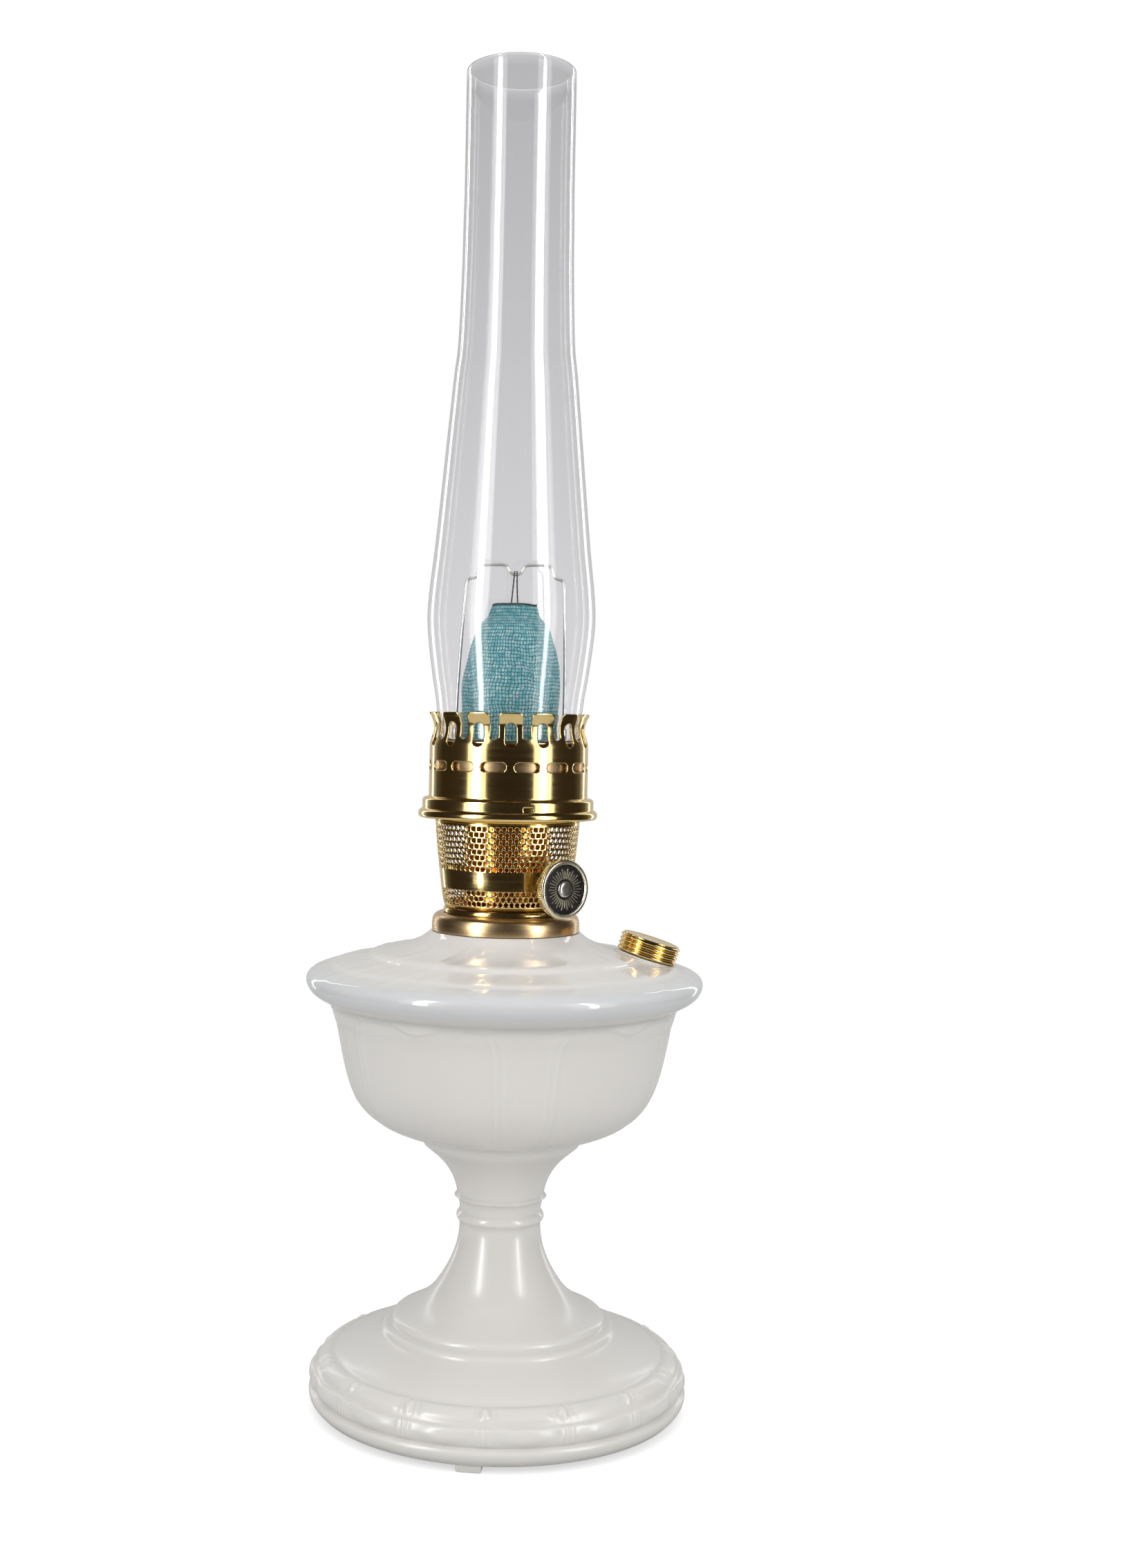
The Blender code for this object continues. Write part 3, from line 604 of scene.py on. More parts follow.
slope = np.gradient(font_outline, axis=0)
slope /= np.linalg.norm(slope, axis=1)[:, None] + 1e-9
outward = np.stack([-slope[:, 1], slope[:, 0]], 1)
grid = spin(font_outline, font_turns)
direction = np.stack([outward[:, :1] * np.sin(font_turns), -outward[:, :1] * np.cos(font_turns),
                      outward[:, 1:] + 0 * font_turns], 2)
font_points = (grid + relief[:, :, None] * direction).reshape(-1, 3)
mesh_piece("pressed_font", font_points, grid_faces(len(font_outline), len(font_turns)), "font",
           opal_glass, ["font_glass"])

# %% [markdown]
# The foot stands on three small tabs that the mould leaves under the rim. Each is a short block, narrower
# at the bottom, worked out as a stack of four level rectangles.

# %% Foot tabs
TAB_TURNS = np.radians([-7.8, 112.2, 232.2])
TAB_FRONT, TAB_DEPTH, TAB_TOP = -83.4, 0.8, 3.0
TAB_LEVELS = np.array([[5.0, 5.6, 0.0], [5.6, 5.9, 0.4], [5.4, 5.3, 2.6], [4.6, 4.9, 3.0]])


def foot_tab(name, turn):
    """Level k is a rectangle of half width w and depth d, its drop below the height where the tab begins."""
    rows = []
    for half, depth, drop in TAB_LEVELS:
        x = np.array([-half, half, half, -half])
        y = TAB_FRONT + np.array([0, 0, depth, depth]) * TAB_DEPTH
        rows.append(np.stack([x, y, np.full(4, TAB_TOP - drop)], 1))
    points = np.vstack(rows)
    c, s = math.cos(turn), math.sin(turn)
    points[:, :2] = points[:, :2] @ np.array([[c, s], [-s, c]])
    faces = grid_faces(len(TAB_LEVELS), 4) + [[0, 1, 2, 3], [12, 13, 14, 15]]
    piece = mesh_piece(name, points, faces, "font", opal_glass)
    rounding = piece.modifiers.new("rounding", "BEVEL")
    rounding.width = 0.0003
    rounding.segments = 2
    return piece


for number, turn in enumerate(TAB_TURNS):
    foot_tab(f"foot_tab_{number}", turn)

# %% [markdown]
# ## The chimney
# Blown glass has an even wall and a fire-polished lip at each end. The outline runs down the outside, rounds
# the lip and climbs the inside, one wall thickness in.

# %% Chimney
WALL = 2.0
outside = np.vstack([smooth_run([(25.4, 613.4), (25.4, 590), (25.4, 560), (25.6, 545), (25.9, 520),
                                 (27.0, 488), (28.6, 473), (31.1, 446), (33.9, 415), (36.1, 392),
                                 (38.0, 375), (38.8, 362), (38.0, 350), (36.0, 335), (34.2, 324),
                                 (33.4, 316), (33.1, 310), (33.0, 306.2)], 5)])
inside = (outside - [WALL, 0])[::-1]
lip_turn = np.linspace(0, np.pi, 7)[1:-1]
bottom_lip = np.stack([32.0 + np.cos(lip_turn), 306.2 - 1.0 * np.sin(lip_turn)], 1)
top_lip = np.stack([24.4 - np.cos(lip_turn), 613.4 + 1.1 * np.sin(lip_turn)], 1)
lathe("blown_chimney", np.vstack([outside, bottom_lip, inside, top_lip]), "chimney", clear_glass,
      ["chimney"], sides=112)

# %% [markdown]
# ## Turned brass
# Collar, burner base, seats and rings are plain turned pieces. Their outlines get soft corners, because no
# spun edge is sharp, and a lathe does the rest.

# %% Turned rings
RINGS = {
    "collar_ring": ("font", satin_brass, "font_collar",
                    [(29.6, 226.0), (30.9, 226.0), (32.3, 225.4), (33.3, 224.3), (33.8, 223.0), (34.0, 221.6),
                     (34.0, 217.8), (32.9, 217.8), (32.9, 221.3), (27.7, 221.3), (27.7, 216.0),
                     (26.5, 216.0), (26.5, 226.0)]),
    "base_ring": ("burner", polished_brass, "burner_base",
                  [(28.6, 228.3), (28.9, 227.4), (28.9, 226.3), (26.2, 226.3), (26.2, 217.5), (20.0, 217.5),
                   (20.0, 218.5), (24.9, 218.5), (24.9, 228.3)]),
    "bayonet_ring": ("burner", polished_brass, "gallery_lock_ring",
                     [(37.9, 276.9), (37.9, 269.9), (30.0, 269.9), (30.0, 270.7), (37.1, 270.7),
                      (37.1, 276.9)]),
    "seat_cone": ("gallery", satin_brass, "gallery_cone",
                  [(34.1, 304.7), (34.1, 304.0), (27.3, 304.0), (24.4, 298.0), (23.6, 298.0), (24.2, 304.7)]),
    "liner_ring": ("gallery", satin_brass, None,
                   [(34.4, 301.0), (34.4, 286.0), (33.8, 286.0), (33.8, 301.0)]),
    "draft_sleeve": ("burner", polished_brass, None,
                     [(19.75, 267.0), (19.75, 229.6), (19.65, 229.6), (19.65, 267.0)]),
    "mantle_base": ("mantle", steel, "mantle_ring",
                    [(26.3, 306.2), (26.3, 305.0), (21.7, 305.0), (21.7, 306.2)]),
}
for name, (body, metal, stands_for, outline) in RINGS.items():
    lathe(name, soft_corners(outline, 0.3), body, metal, [stands_for] if stands_for else (), sides=120)

# %% [markdown]
# ## The pierced basket
# The basket is drawn from sheet brass and pierced all over, so that air can reach the flame. Each hole sits
# in a brick-shaped cell: twelve points on the hole's edge are joined to twelve on the brick. Bricks of
# neighbouring rows are shifted by half, and their edge points fall on each other, so the sheet stays whole.

# %% Basket
HOLES_AROUND = 72
HOLE_RADIUS, RIM_REACH, RIM_SINK = 1.03, 0.17, 0.22
BASKET_SIDE = smooth_run([(28.2, 228.7), (28.9, 231.0), (30.15, 238.5), (30.9, 245.0), (31.65, 251.0),
                          (32.5, 259.0), (33.2, 266.6), (33.5, 269.5)], 8)
BASKET_WALL = 0.35
UPPER_ROWS, UPPER_START, UPPER_STEP = 8, 246.4, 2.586
LOWER_ROWS, LOWER_START, LOWER_STEP = 3, 230.67, 2.45
BRICK = np.array([(-0.5, -0.5), (-0.25, -0.5), (0, -0.5), (0.25, -0.5), (0.5, -0.5), (0.5, 0), (0.5, 0.5),
                  (0.25, 0.5), (0, 0.5), (-0.25, 0.5), (-0.5, 0.5), (-0.5, 0)])


def basket_radius(height):
    return np.interp(height, BASKET_SIDE[:, 1], BASKET_SIDE[:, 0])


def pierced_rows(start, rows, step):
    """Flat cells first, as (turn in cell widths, height, sink): three rings round each hole share the
    brick's directions, and the innermost ones sink in, as the punch leaves them."""
    angle = np.arctan2(BRICK[:, 1] * step, BRICK[:, 0] * 2 * np.pi * 31.5 / HOLES_AROUND)
    row, column = np.meshgrid(np.arange(rows), np.arange(HOLES_AROUND), indexing="ij")
    middle_z = (start + (row + 0.5) * step).ravel()
    middle_u = (column + 0.5 * (row % 2)).ravel()
    width = 2 * np.pi * basket_radius(middle_z) / HOLES_AROUND
    edge_u = middle_u[:, None] + BRICK[:, 0]
    edge_z = middle_z[:, None] + BRICK[:, 1] * step
    rings = []
    for radius, sink in ((HOLE_RADIUS, RIM_SINK), (HOLE_RADIUS + 0.4 * RIM_REACH, 0.3 * RIM_SINK),
                         (HOLE_RADIUS + RIM_REACH, 0)):
        ring_u = middle_u[:, None] + radius * np.cos(angle) / width[:, None]
        ring_z = middle_z[:, None] + radius * np.sin(angle)
        rings.append(np.stack([ring_u, ring_z, sink + 0 * ring_u], 2))
    rings.append(np.stack([edge_u, edge_z, 0 * edge_u], 2))
    base = np.arange(len(middle_z))[:, None, None] * 48 + np.arange(3)[None, :, None] * 12
    k = np.arange(12)[None, None, :]
    on = (k + 1) % 12
    quads = np.stack([base + k, base + 12 + k, base + 12 + on, base + on], 3).reshape(-1, 4)
    return np.stack(rings, 1).reshape(-1, 3), quads


def plain_rows(heights):
    """Bands without holes, with four columns to each brick so that they meet the pierced rows."""
    columns = HOLES_AROUND * 4
    u, z = np.meshgrid(np.arange(columns) / 4, heights)
    return np.stack([u.ravel(), z.ravel(), 0 * z.ravel()], 1), np.array(grid_faces(len(heights), columns))


upper_end = UPPER_START + UPPER_ROWS * UPPER_STEP
lower_end = LOWER_START + LOWER_ROWS * LOWER_STEP
sheets = [pierced_rows(UPPER_START, UPPER_ROWS, UPPER_STEP),
          pierced_rows(LOWER_START, LOWER_ROWS, LOWER_STEP),
          plain_rows([BASKET_SIDE[0, 1], LOWER_START]), plain_rows(np.linspace(lower_end, UPPER_START, 5)),
          plain_rows([upper_end, 269.5])]
flat_points = np.vstack([points for points, _ in sheets])
offsets = np.cumsum([0] + [len(points) for points, _ in sheets])
basket_quads = np.vstack([quads + shift for (_, quads), shift in zip(sheets, offsets)])
basket_turn = flat_points[:, 0] * 2 * np.pi / HOLES_AROUND
basket_r = basket_radius(flat_points[:, 1]) - flat_points[:, 2]
basket_points = np.stack([basket_r * np.sin(basket_turn), -basket_r * np.cos(basket_turn),
                          flat_points[:, 1]], 1)
basket = mesh_piece("pierced_basket", basket_points, basket_quads.tolist(), "burner", polished_brass,
                    ["burner_basket"])


def sheet_wall(piece, thickness):
    """Gives an open skin its metal thickness, inwards."""
    wall = piece.modifiers.new("wall", "SOLIDIFY")
    wall.thickness = thickness * MM
    wall.offset = -1
    wall.use_even_offset = True


sheet_wall(basket, BASKET_WALL)
lathe("basket_floor", soft_corners([(28.0, 229.4), (28.0, 228.7), (24.9, 228.7), (24.9, 229.4)], 0.15),
      "burner", polished_brass, sides=120)

# %% [markdown]
# ## The gallery
# The gallery grips the chimney with a ring of springy fingers. It is one drawn and slotted shell. Its skin is
# a fine grid over turn and height; quads inside a slot are left out, and the points next to a slot slide
# onto its true edge, so that every slot ends in a clean curve.

# %% Gallery skin
FINGERS, FINGER_TURN, GALLERY_RADIUS = 15, 1.2, 35.8
GALLERY_SIDE = np.vstack([
    smooth_run([(40.0, 270.1), (40.5, 270.5), (40.7, 271.4), (40.5, 272.3), (39.9, 272.9), (39.2, 273.2)], 2),
    smooth_run([(38.9, 273.7), (38.9, 275.2), (38.9, 277.2), (38.7, 277.9), (38.2, 278.3)], 3),
    smooth_run([(37.2, 278.5), (36.4, 278.7), (36.05, 279.3)], 2),
    smooth_run([(36.0, 280.5), (36.0, 290.8)], 6), smooth_run([(36.0, 291.1), (36.0, 296.1)], 14),
    smooth_run([(36.0, 296.6), (36.0, 301.8)], 4),
    smooth_run([(36.0, 302.2), (35.8, 304.0), (35.2, 306.0), (34.6, 308.2), (34.3, 310.3), (34.5, 312.4),
                (35.2, 314.6), (35.8, 316.2)], 6),
    smooth_run([(36.0, 316.6), (36.2, 317.2), (36.5, 317.9)], 2)])
SLOT_HALF, SLOT_TALL, SLOT_MIDDLE = 5.7, 2.2, 293.6
GAP_HALF, GAP_BOTTOM = 2.0, 305.6
WINDOW_HALF, WINDOW_LOW, WINDOW_HIGH = 2.7, 302.5, 313.5
TIP_HEIGHT, TIP_CORNER = 317.9, 1.9


def pill(x, y, half_width, half_height):
    """Signed distance in millimetres to a slot with round ends: negative inside."""
    round_off = min(half_width, half_height)
    dx = np.maximum(np.abs(x) - (half_width - round_off), 0)
    dy = np.maximum(np.abs(y) - (half_height - round_off), 0)
    return np.hypot(dx, dy) - round_off


def gallery_openings(turns, height):
    """The least distance to any opening at each grid point: finger gaps, finger windows, body slots, the
    corners cut off each fingertip, and one small window in the flange for the lock."""
    arc = math.radians(1) * GALLERY_RADIUS
    at_gap = around(turns, 24, FINGER_TURN + 12) * arc
    at_finger = around(turns, 24, FINGER_TURN) * arc
    gap_half = (340 - GAP_BOTTOM) / 2
    gap = pill(at_gap, height - GAP_BOTTOM - gap_half, GAP_HALF, gap_half)
    middle, half = (WINDOW_LOW + WINDOW_HIGH) / 2, (WINDOW_HIGH - WINDOW_LOW) / 2
    window = pill(at_finger, height - middle, WINDOW_HALF, half)
    slot = pill(at_gap, height - SLOT_MIDDLE, SLOT_HALF, SLOT_TALL)
    lock_x = np.abs(around(turns, 360, 13.4)) * math.radians(1) * 38.9
    lock = np.maximum(lock_x - 2.2, np.abs(height - 275.1) - 0.85)
    tip_x = np.maximum(np.abs(at_finger) - (12 * arc - GAP_HALF - TIP_CORNER), 0)
    tip_z = np.maximum(height - (TIP_HEIGHT - TIP_CORNER), 0)
    corner = np.where((tip_x > 0) & (tip_z > 0), TIP_CORNER - np.hypot(tip_x, tip_z), 9)
    return np.minimum.reduce([gap, window, slot, lock, corner])


gallery_turns = turns_of(FINGERS * 38)
spun_turns = np.broadcast_to(gallery_turns, (len(GALLERY_SIDE), len(gallery_turns))).copy()
heights = np.broadcast_to(GALLERY_SIDE[:, 1:], spun_turns.shape).copy()
far = gallery_openings(spun_turns, heights)
quad_far = (far[:-1] + far[1:]) / 2
keep = (quad_far + np.roll(quad_far, -1, 1)) / 2 > 0
met = np.zeros(far.shape, int)
for rows in (slice(0, -1), slice(1, None)):
    for shift in (0, 1):
        met[rows] += np.roll(keep, shift, 1)
on_edge = (met > 0) & (met < 4) & (np.abs(far) < 0.8)
NUDGE = 0.02
for _ in range(4):
    far = gallery_openings(spun_turns, heights)
    slope_t = (gallery_openings(spun_turns + NUDGE / GALLERY_RADIUS, heights) - far) / NUDGE
    slope_z = (gallery_openings(spun_turns, heights + NUDGE) - far) / NUDGE
    pull = np.where(on_edge, np.clip(far, -0.3, 0.3) / np.maximum(slope_t ** 2 + slope_z ** 2, 0.5), 0)
    spun_turns -= pull * slope_t / GALLERY_RADIUS
    heights -= pull * slope_z
heights = np.clip(heights, GALLERY_SIDE[0, 1], GALLERY_SIDE[-1, 1])
radii = np.interp(heights, GALLERY_SIDE[:, 1], GALLERY_SIDE[:, 0])
gallery_points = np.stack([radii * np.sin(spun_turns), -radii * np.cos(spun_turns), heights], 2)
gallery = mesh_piece("fingered_gallery", gallery_points.reshape(-1, 3),
                     grid_faces(len(GALLERY_SIDE), len(gallery_turns), keep=keep), "gallery", polished_brass,
                     ["gallery_shell"])
sheet_wall(gallery, 0.6)

# %% [markdown]
# ## The wick knob
# The knob turns a shaft that points out of the basket, so its pieces are turned round that shaft. A small
# function carries points from the shaft's own frame, where the shaft is upright, to its place on the lamp.

# %% Shaft frame
SHAFT_TURN, SHAFT_HEIGHT = 37.0, 240.0


def on_shaft(points):
    """Local Z runs out along the shaft, local Y is up, and local X is level."""
    turn = math.radians(SHAFT_TURN)
    out = np.array([math.sin(turn), -math.cos(turn), 0])
    level = np.array([math.cos(turn), math.sin(turn), 0])
    up = np.array([0, 0, 1])
    x, y, z = np.asarray(points, float).T
    return x[:, None] * level + y[:, None] * up + z[:, None] * out + [0, 0, SHAFT_HEIGHT]


# %% Knob
TEETH = 84
KNOB_BACK = 39.5
knob_outline = soft_corners([(11.3, 4.5), (12.5, 4.5), (13.1, 4.0), (13.2, 3.3), (13.2, 0.9), (12.8, 0.0),
                             (9.0, 0.0), (1.8, 0.0), (1.8, 2.5), (10.9, 2.5), (10.95, 3.9)], 0.25, 4)
knob_turns = turns_of(TEETH * 4)
on_side = ease((knob_outline[:, 0] - 12.9) / 0.2) * ease((3.3 - knob_outline[:, 1]) / 0.2)
groove = 1 - 0.032 * on_side[:, None] * (0.5 + 0.5 * np.cos(TEETH * knob_turns))[None, :] ** 2
knob_grid = spin(knob_outline + [0, KNOB_BACK], knob_turns)
knob_grid[:, :, :2] *= groove[:, :, None]
mesh_piece("knurled_knob", on_shaft(knob_grid.reshape(-1, 3)),
           grid_faces(len(knob_outline), len(knob_turns), close_rows=True), "knob", nickel_brass,
           ["wick_knob"])
FACE = KNOB_BACK + 3.5
lathe("knob_plate", soft_corners([(10.85, FACE), (10.85, FACE - 0.7), (2.0, FACE - 0.7), (2.0, FACE)], 0.15),
      "knob", black_enamel, ["knob_face"], sides=96, tilt=on_shaft)
stud = smooth_run([(0, 1.1), (1.6, 1.08), (2.9, 0.95), (3.4, 0.6), (3.5, 0.1), (1.7, 0.05), (1.7, -0.8),
                   (0, -0.8)], 3)
lathe("knob_stud", stud + [0, FACE], "knob", steel, ["knob_rivet"], sides=48, tilt=on_shaft, closed=False)

# %% [markdown]
# The black face carries a plain sunburst of raised strokes, long and short in turn. One stroke is a low bar
# with a narrower top; arrays of turns set all of them out at once.

# %% Sunburst
RAYS = 36


def bars(inner, outer, half_width, low, high, turns, slim=0.55):
    """Low bars along the radius: a rectangle at the bottom, a slimmer and shorter one on top."""
    a, b = np.asarray(inner, float), np.asarray(outer, float)
    corner_r = np.stack([a, b, b, a, a + 0.12, b - 0.12, b - 0.12, a + 0.12], 1)
    corner_w = np.array([-1, -1, 1, 1, -slim, -slim, slim, slim]) * half_width
    corner_z = np.array([low] * 4 + [high] * 4)
    c, s = np.cos(turns)[:, None], np.sin(turns)[:, None]
    x, y = corner_r * c - corner_w * s, corner_r * s + corner_w * c
    points = np.stack([x, y, corner_z + 0 * x], 2).reshape(-1, 3)
    box = np.array([(3, 2, 1, 0), (4, 5, 6, 7), (0, 1, 5, 4), (1, 2, 6, 5), (2, 3, 7, 6), (3, 0, 4, 7)])
    faces = (box[None] + 8 * np.arange(len(turns))[:, None, None]).reshape(-1, 4)
    return points, faces.tolist()


ray_turns = turns_of(RAYS)
ray_end = np.where(np.arange(RAYS) % 2, 8.4, 9.4)
ray_points, ray_faces = bars(4.6 + 0 * ray_end, ray_end, 0.33, FACE - 0.05, FACE + 0.3, ray_turns)
mesh_piece("knob_rays", on_shaft(ray_points), ray_faces, "knob", nickel_brass)

# %% [markdown]
# ## The filler cap
# The cap leans outward, square to the shoulder. Rolled ridges round its side give the fingers a grip.

# %% Filler cap
FILLER_BASE = np.array([64.6, 0.0, 205.0])
FILLER_LEAN = math.radians(16.6)


def on_filler(points):
    """Leans points outward about Y and moves them to the middle of the filler hole."""
    x, y, z = np.asarray(points, float).T
    c, s = math.cos(FILLER_LEAN), math.sin(FILLER_LEAN)
    return np.stack([x * c + z * s, y, z * c - x * s], 1) + FILLER_BASE


RIDGES_OF_CAP = 4
ridge_turn = np.linspace(0, 2 * np.pi * RIDGES_OF_CAP, 65)[::-1]
ridge_height = np.linspace(1.9, 10.0, 65)[::-1]
side = np.stack([12.9 + 1.1 * np.abs(np.sin(ridge_turn / 2)) ** 0.8, ridge_height], 1)
cap_outline = np.vstack([smooth_run([(0, 9.9), (9.5, 9.95), (11.6, 10.2), (12.6, 10.45), (13.1, 10.3)], 4),
                         side, [(12.0, 1.9), (12.0, 2.7), (9.1, 2.7), (9.1, 8.0), (0, 8.0)]])
lathe("ridged_cap", cap_outline, "filler_cap", polished_brass, ["filler_cap"], sides=96, tilt=on_filler,
      closed=False)
boss_top = [(9.0, 1.6), (13.4, 1.6), (14.2, 1.4), (14.8, 0.8), (15.6, 0.1), (17.0, -1.6)]
boss = np.vstack([smooth_run(boss_top, 4), [(8.8, -1.8), (8.8, 1.5)]])
lathe("filler_boss", boss, "font", opal_glass, sides=96, tilt=on_filler)
lathe("filler_ring", soft_corners([(8.7, 6.3), (8.7, 2.4), (11.6, 2.4), (11.6, 1.9), (8.7, 1.9), (8.7, -5.5),
                                   (7.5, -5.5), (7.5, 6.3)], 0.2), "font", polished_brass, ["filler_neck"],
      sides=72, tilt=on_filler)

# %% [markdown]
# ## The mantle
# A mantle is a stocking of knitted thread, dyed and soaked in salts, gathered at the top round a cord. It
# has wide cells with dark strands between them. Here the cloth is a grid over turn and height: each cell
# swells a little between its strands, and slow waves make the sock hang unevenly. A UV map follows the
# knitting, so the strands in the colour lie exactly on the strands in the shape.

# %% Mantle cloth
CELLS_AROUND, CELLS_UP, CELL_STEPS = 92, 41, 3
MANTLE_SIDE = smooth_run([(21.3, 306.7), (21.7, 312.0), (22.2, 318.3), (22.5, 327.9), (22.1, 334.3),
                          (21.2, 340.7), (19.9, 347.0), (17.9, 353.5), (16.0, 358.0), (13.6, 360.7),
                          (12.0, 362.6), (11.2, 364.7), (10.3, 366.8), (9.2, 368.0), (7.4, 368.4),
                          (5.2, 367.6)], 10)
GATHER_HEIGHT = 361.0
MANTLE_LEAN = 0.022
mantle_length = np.append(0, np.cumsum(np.linalg.norm(np.diff(MANTLE_SIDE, axis=0), axis=1)))
mantle_rows = CELLS_UP * CELL_STEPS + 1
mantle_v = np.linspace(0, 1, mantle_rows)
mantle_r = np.interp(mantle_v * mantle_length[-1], mantle_length, MANTLE_SIDE[:, 0])
mantle_z = np.interp(mantle_v * mantle_length[-1], mantle_length, MANTLE_SIDE[:, 1])
mantle_u = np.arange(CELLS_AROUND * CELL_STEPS + 1) / (CELLS_AROUND * CELL_STEPS)
u, v = np.meshgrid(mantle_u, mantle_v)
knit_u = u + 0.0030 * np.sin(2 * np.pi * (3 * v + 2 * u)) + 0.0016 * np.sin(2 * np.pi * (9 * v + 5 * u))
lift = 0.5 * np.sin(2 * np.pi * (3 * u + v)) + 0.3 * np.sin(2 * np.pi * (8 * u + 2 * v + 0.3 * np.sin(9 * u)))
cell = (np.abs(np.sin(np.pi * CELLS_AROUND * u)) * np.abs(np.sin(np.pi * CELLS_UP * v))) ** 0.5
slack = ease((mantle_z[:, None] - 304) / 16) * ease((356 - mantle_z[:, None]) / 12)
broad_folds = np.sin(2 * np.pi * (5 * u + 0.4 * np.sin(6 * v)))
folds = 0.35 * slack * (broad_folds + 0.6 * np.sin(2 * np.pi * (11 * u + 2 * v)))
pleats = 0.22 * ease((mantle_z[:, None] - GATHER_HEIGHT) / 3) * np.sin(2 * np.pi * 31 * u)
cloth_r = mantle_r[:, None] - 0.2 + 0.26 * cell + folds + pleats * ease((mantle_r[:, None] - 6) / 3)
cloth_turn = 2 * np.pi * knit_u
cloth = np.stack([cloth_r * np.sin(cloth_turn), -cloth_r * np.cos(cloth_turn),
                  mantle_z[:, None] + slack * lift * ease((v - 0.02) / 0.1)], 2)


def leaning(points):
    """The mantle hangs a little to the right: X grows with the height above its base."""
    points = np.array(points, float)
    points[:, 0] += MANTLE_LEAN * np.maximum(points[:, 2] - 306.7, 0)
    return points


cloth_uv = np.stack([u * CELLS_AROUND, v * CELLS_UP], 2).reshape(-1, 2)


def knit_finish():
    """Pale cells framed by dark strands: distance to the nearest strand on the UV map sets the colour."""
    material = finish("mantle_net", Roughness=0.34)
    tree = material.node_tree
    shader = tree.nodes["Principled BSDF"].inputs
    knit = add_node(tree, "UVMap", uv_map="weave").outputs["UV"]
    place = add_node(tree, "TexCoord").outputs["Object"]
    wobble = add_node(tree, "TexNoise", Scale=700, Vector=place).outputs["Color"]
    shifted = add_node(tree, "VectorMath", operation="MULTIPLY_ADD", at_0=wobble, at_1=(0.75, 0.75, 0),
                       at_2=knit)
    split = add_node(tree, "SeparateXYZ", Vector=shifted.outputs["Vector"])
    strands = [add_node(tree, "Math", operation="PINGPONG", at_0=split.outputs[axis], at_1=0.5).outputs[0]
               for axis in ("X", "Y")]
    least = add_node(tree, "Math", operation="MINIMUM", at_0=strands[0], at_1=strands[1]).outputs[0]
    edge = span(tree, least, 0.05, 0.20, interpolation_type="SMOOTHSTEP")
    patch = add_node(tree, "TexNoise", Scale=420, Vector=place).outputs["Fac"]
    tone = colour_ramp(tree, patch, [(0.35, (0.055, 0.39, 0.43)), (0.70, (0.43, 0.67, 0.68))])
    tree.links.new(mix_colours(tree, edge, (0.012, 0.13, 0.16, 1), tone), shader["Base Color"])
    bump = add_node(tree, "Bump", invert=True, Strength=0.6, Distance=0.0004, Height=edge)
    tree.links.new(bump.outputs["Normal"], shader["Normal"])
    return material


mantle_net = knit_finish()
mantle = mesh_piece("knitted_mantle", leaning(cloth.reshape(-1, 3)),
                    grid_faces(mantle_rows, len(mantle_u), close_columns=False), "mantle", mantle_net,
                    ["mantle"], uv=cloth_uv)
thickness = mantle.modifiers.new("thread", "SOLIDIFY")
thickness.thickness = 0.35 * MM
thickness.offset = -1

# %% [markdown]
# ## Wire, clips and thread
# A steel wire bail stands over the mantle with a notch in the middle of its top bar. Two black threads hang
# from the notch and hold the gathered top, and small ferrules hold the legs.

# %% Bail
BAIL_RADIUS = 0.7
half_bail = [(24.9, 306.7), (24.9, 312.0), (24.7, 330.0), (23.9, 352.0), (23.1, 370.0), (22.7, 376.4),
             (22.2, 378.5), (21.2, 379.6), (19.8, 380.0), (18.5, 380.5), (17.6, 382.0), (16.9, 384.3),
             (15.7, 385.8), (13.8, 386.2), (8.5, 386.3), (5.2, 386.1), (3.9, 385.2), (2.8, 383.2),
             (1.5, 382.1)]
bail_half = np.array([(x, 0, z) for x, z in half_bail])
bail_path = np.vstack([bail_half * [-1, 1, 1], [(0, 0, 381.8)], bail_half[::-1]])
sweep("bail_wire", leaning(smooth_run(bail_path, 6)), BAIL_RADIUS, "mantle", steel, ["mantle_bail"], sides=14)

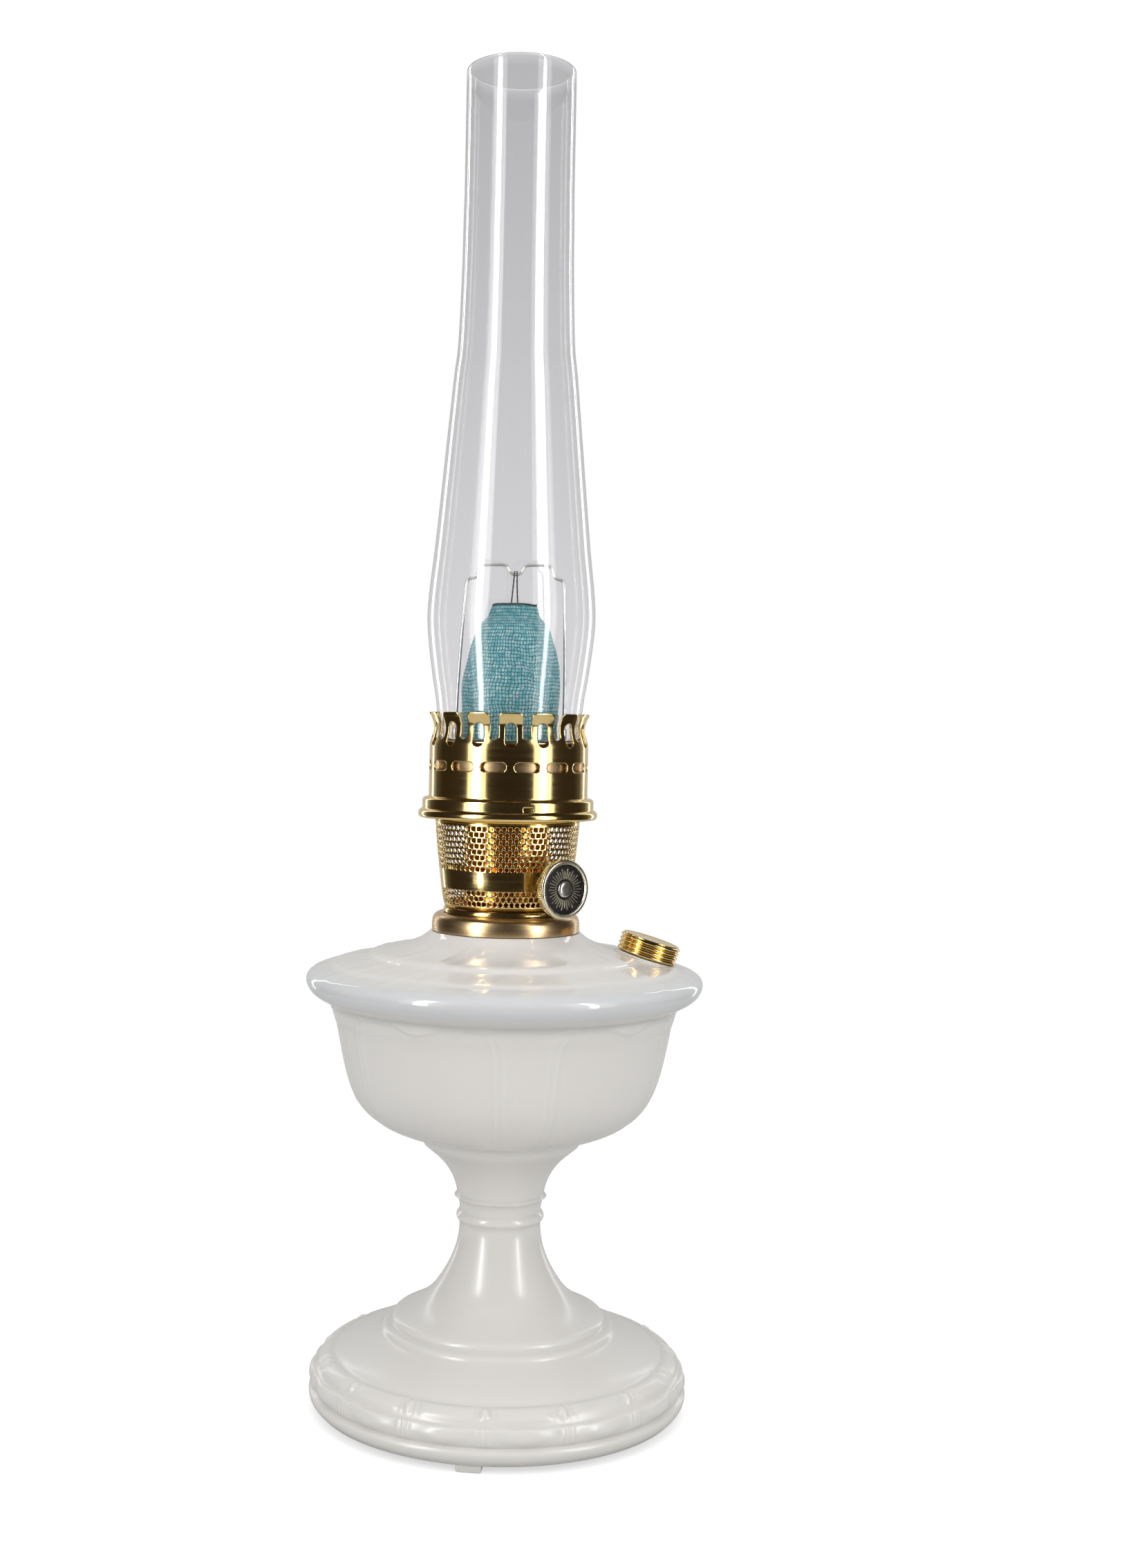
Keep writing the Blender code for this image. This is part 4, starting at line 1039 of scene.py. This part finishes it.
# %% Ferrules
for side, name in ((-1, "left"), (1, "right")):

    def beside(points, side=side):
        return np.asarray(points) + [24.9 * side, 0, 0]

    sleeve = [(1.7, 311.0), (1.7, 306.7), (1.0, 306.7), (1.0, 311.0)]
    lathe(f"leg_sleeve_{name}", soft_corners(sleeve, 0.2), "mantle", steel, [f"bail_ferrule_{name}"],
          sides=24, tilt=beside)

# %% Threads
THREAD_RADIUS = 0.32


def twisted_thread(name, path, stands_for):
    """A thread of three plies: the round section swells and shrinks three times as it turns on its way."""
    path = leaning(smooth_run(path, 10))
    piece = sweep(name, path, THREAD_RADIUS, "mantle", black_thread, stands_for, sides=10,
                  taper=1 + 0.12 * np.sin(np.arange(len(path)) * 1.3))
    return piece


twisted_thread("tie_left", [(-0.5, -0.8, 383.4), (-0.7, -0.5, 381.4), (-1.0, -1.5, 376.5),
                            (-1.3, -3.6, 371.5), (-1.5, -5.6, 368.9), (-1.5, -6.6, 368.2)],
               ["mantle_thread_left"])
twisted_thread("tie_right", [(0.5, -0.8, 383.4), (0.6, -0.5, 381.4), (0.8, -1.5, 376.5), (1.1, -3.6, 371.5),
                             (1.3, -5.6, 368.9), (1.3, -6.6, 368.2)], ["mantle_thread_right"])
loop_turn = turns_of(240)
loop_r = 9.9 + 0.22 * np.sin(31 * loop_turn)
loop_z = 367.7 + 0.15 * np.sin(5 * loop_turn)
loop = np.stack([loop_r * np.sin(loop_turn), -loop_r * np.cos(loop_turn), loop_z], 1)
section = turns_of(8)
out_dir = np.stack([np.sin(loop_turn), -np.cos(loop_turn), 0 * loop_turn], 1)
ring = loop[:, None] + 0.36 * (np.cos(section)[None, :, None] * out_dir[:, None]
                               + np.sin(section)[None, :, None] * np.array([0, 0, 1.0]))
mesh_piece("gather_cord", leaning(ring.reshape(-1, 3)), grid_faces(len(loop), 8, close_rows=True), "mantle",
           black_thread, ["mantle_cord"])

# %% [markdown]
# ## Inside the burner
# The wick and its tubes show only through the gaps; they keep their plain solids, and the spreader gets a
# smooth turned skin.

# %% Spreader
spreader = [(0, 311.5), (13.6, 311.3), (15.6, 310.5), (16.6, 308.9), (16.9, 307.0), (16.9, 300.4),
            (16.1, 300.4), (16.1, 292.0), (15.4, 292.0), (15.4, 307.0), (13.4, 310.6), (0, 310.9)]
lathe("spreader_cap", spreader, "spreader", satin_brass, ["flame_spreader"], sides=72, closed=False)
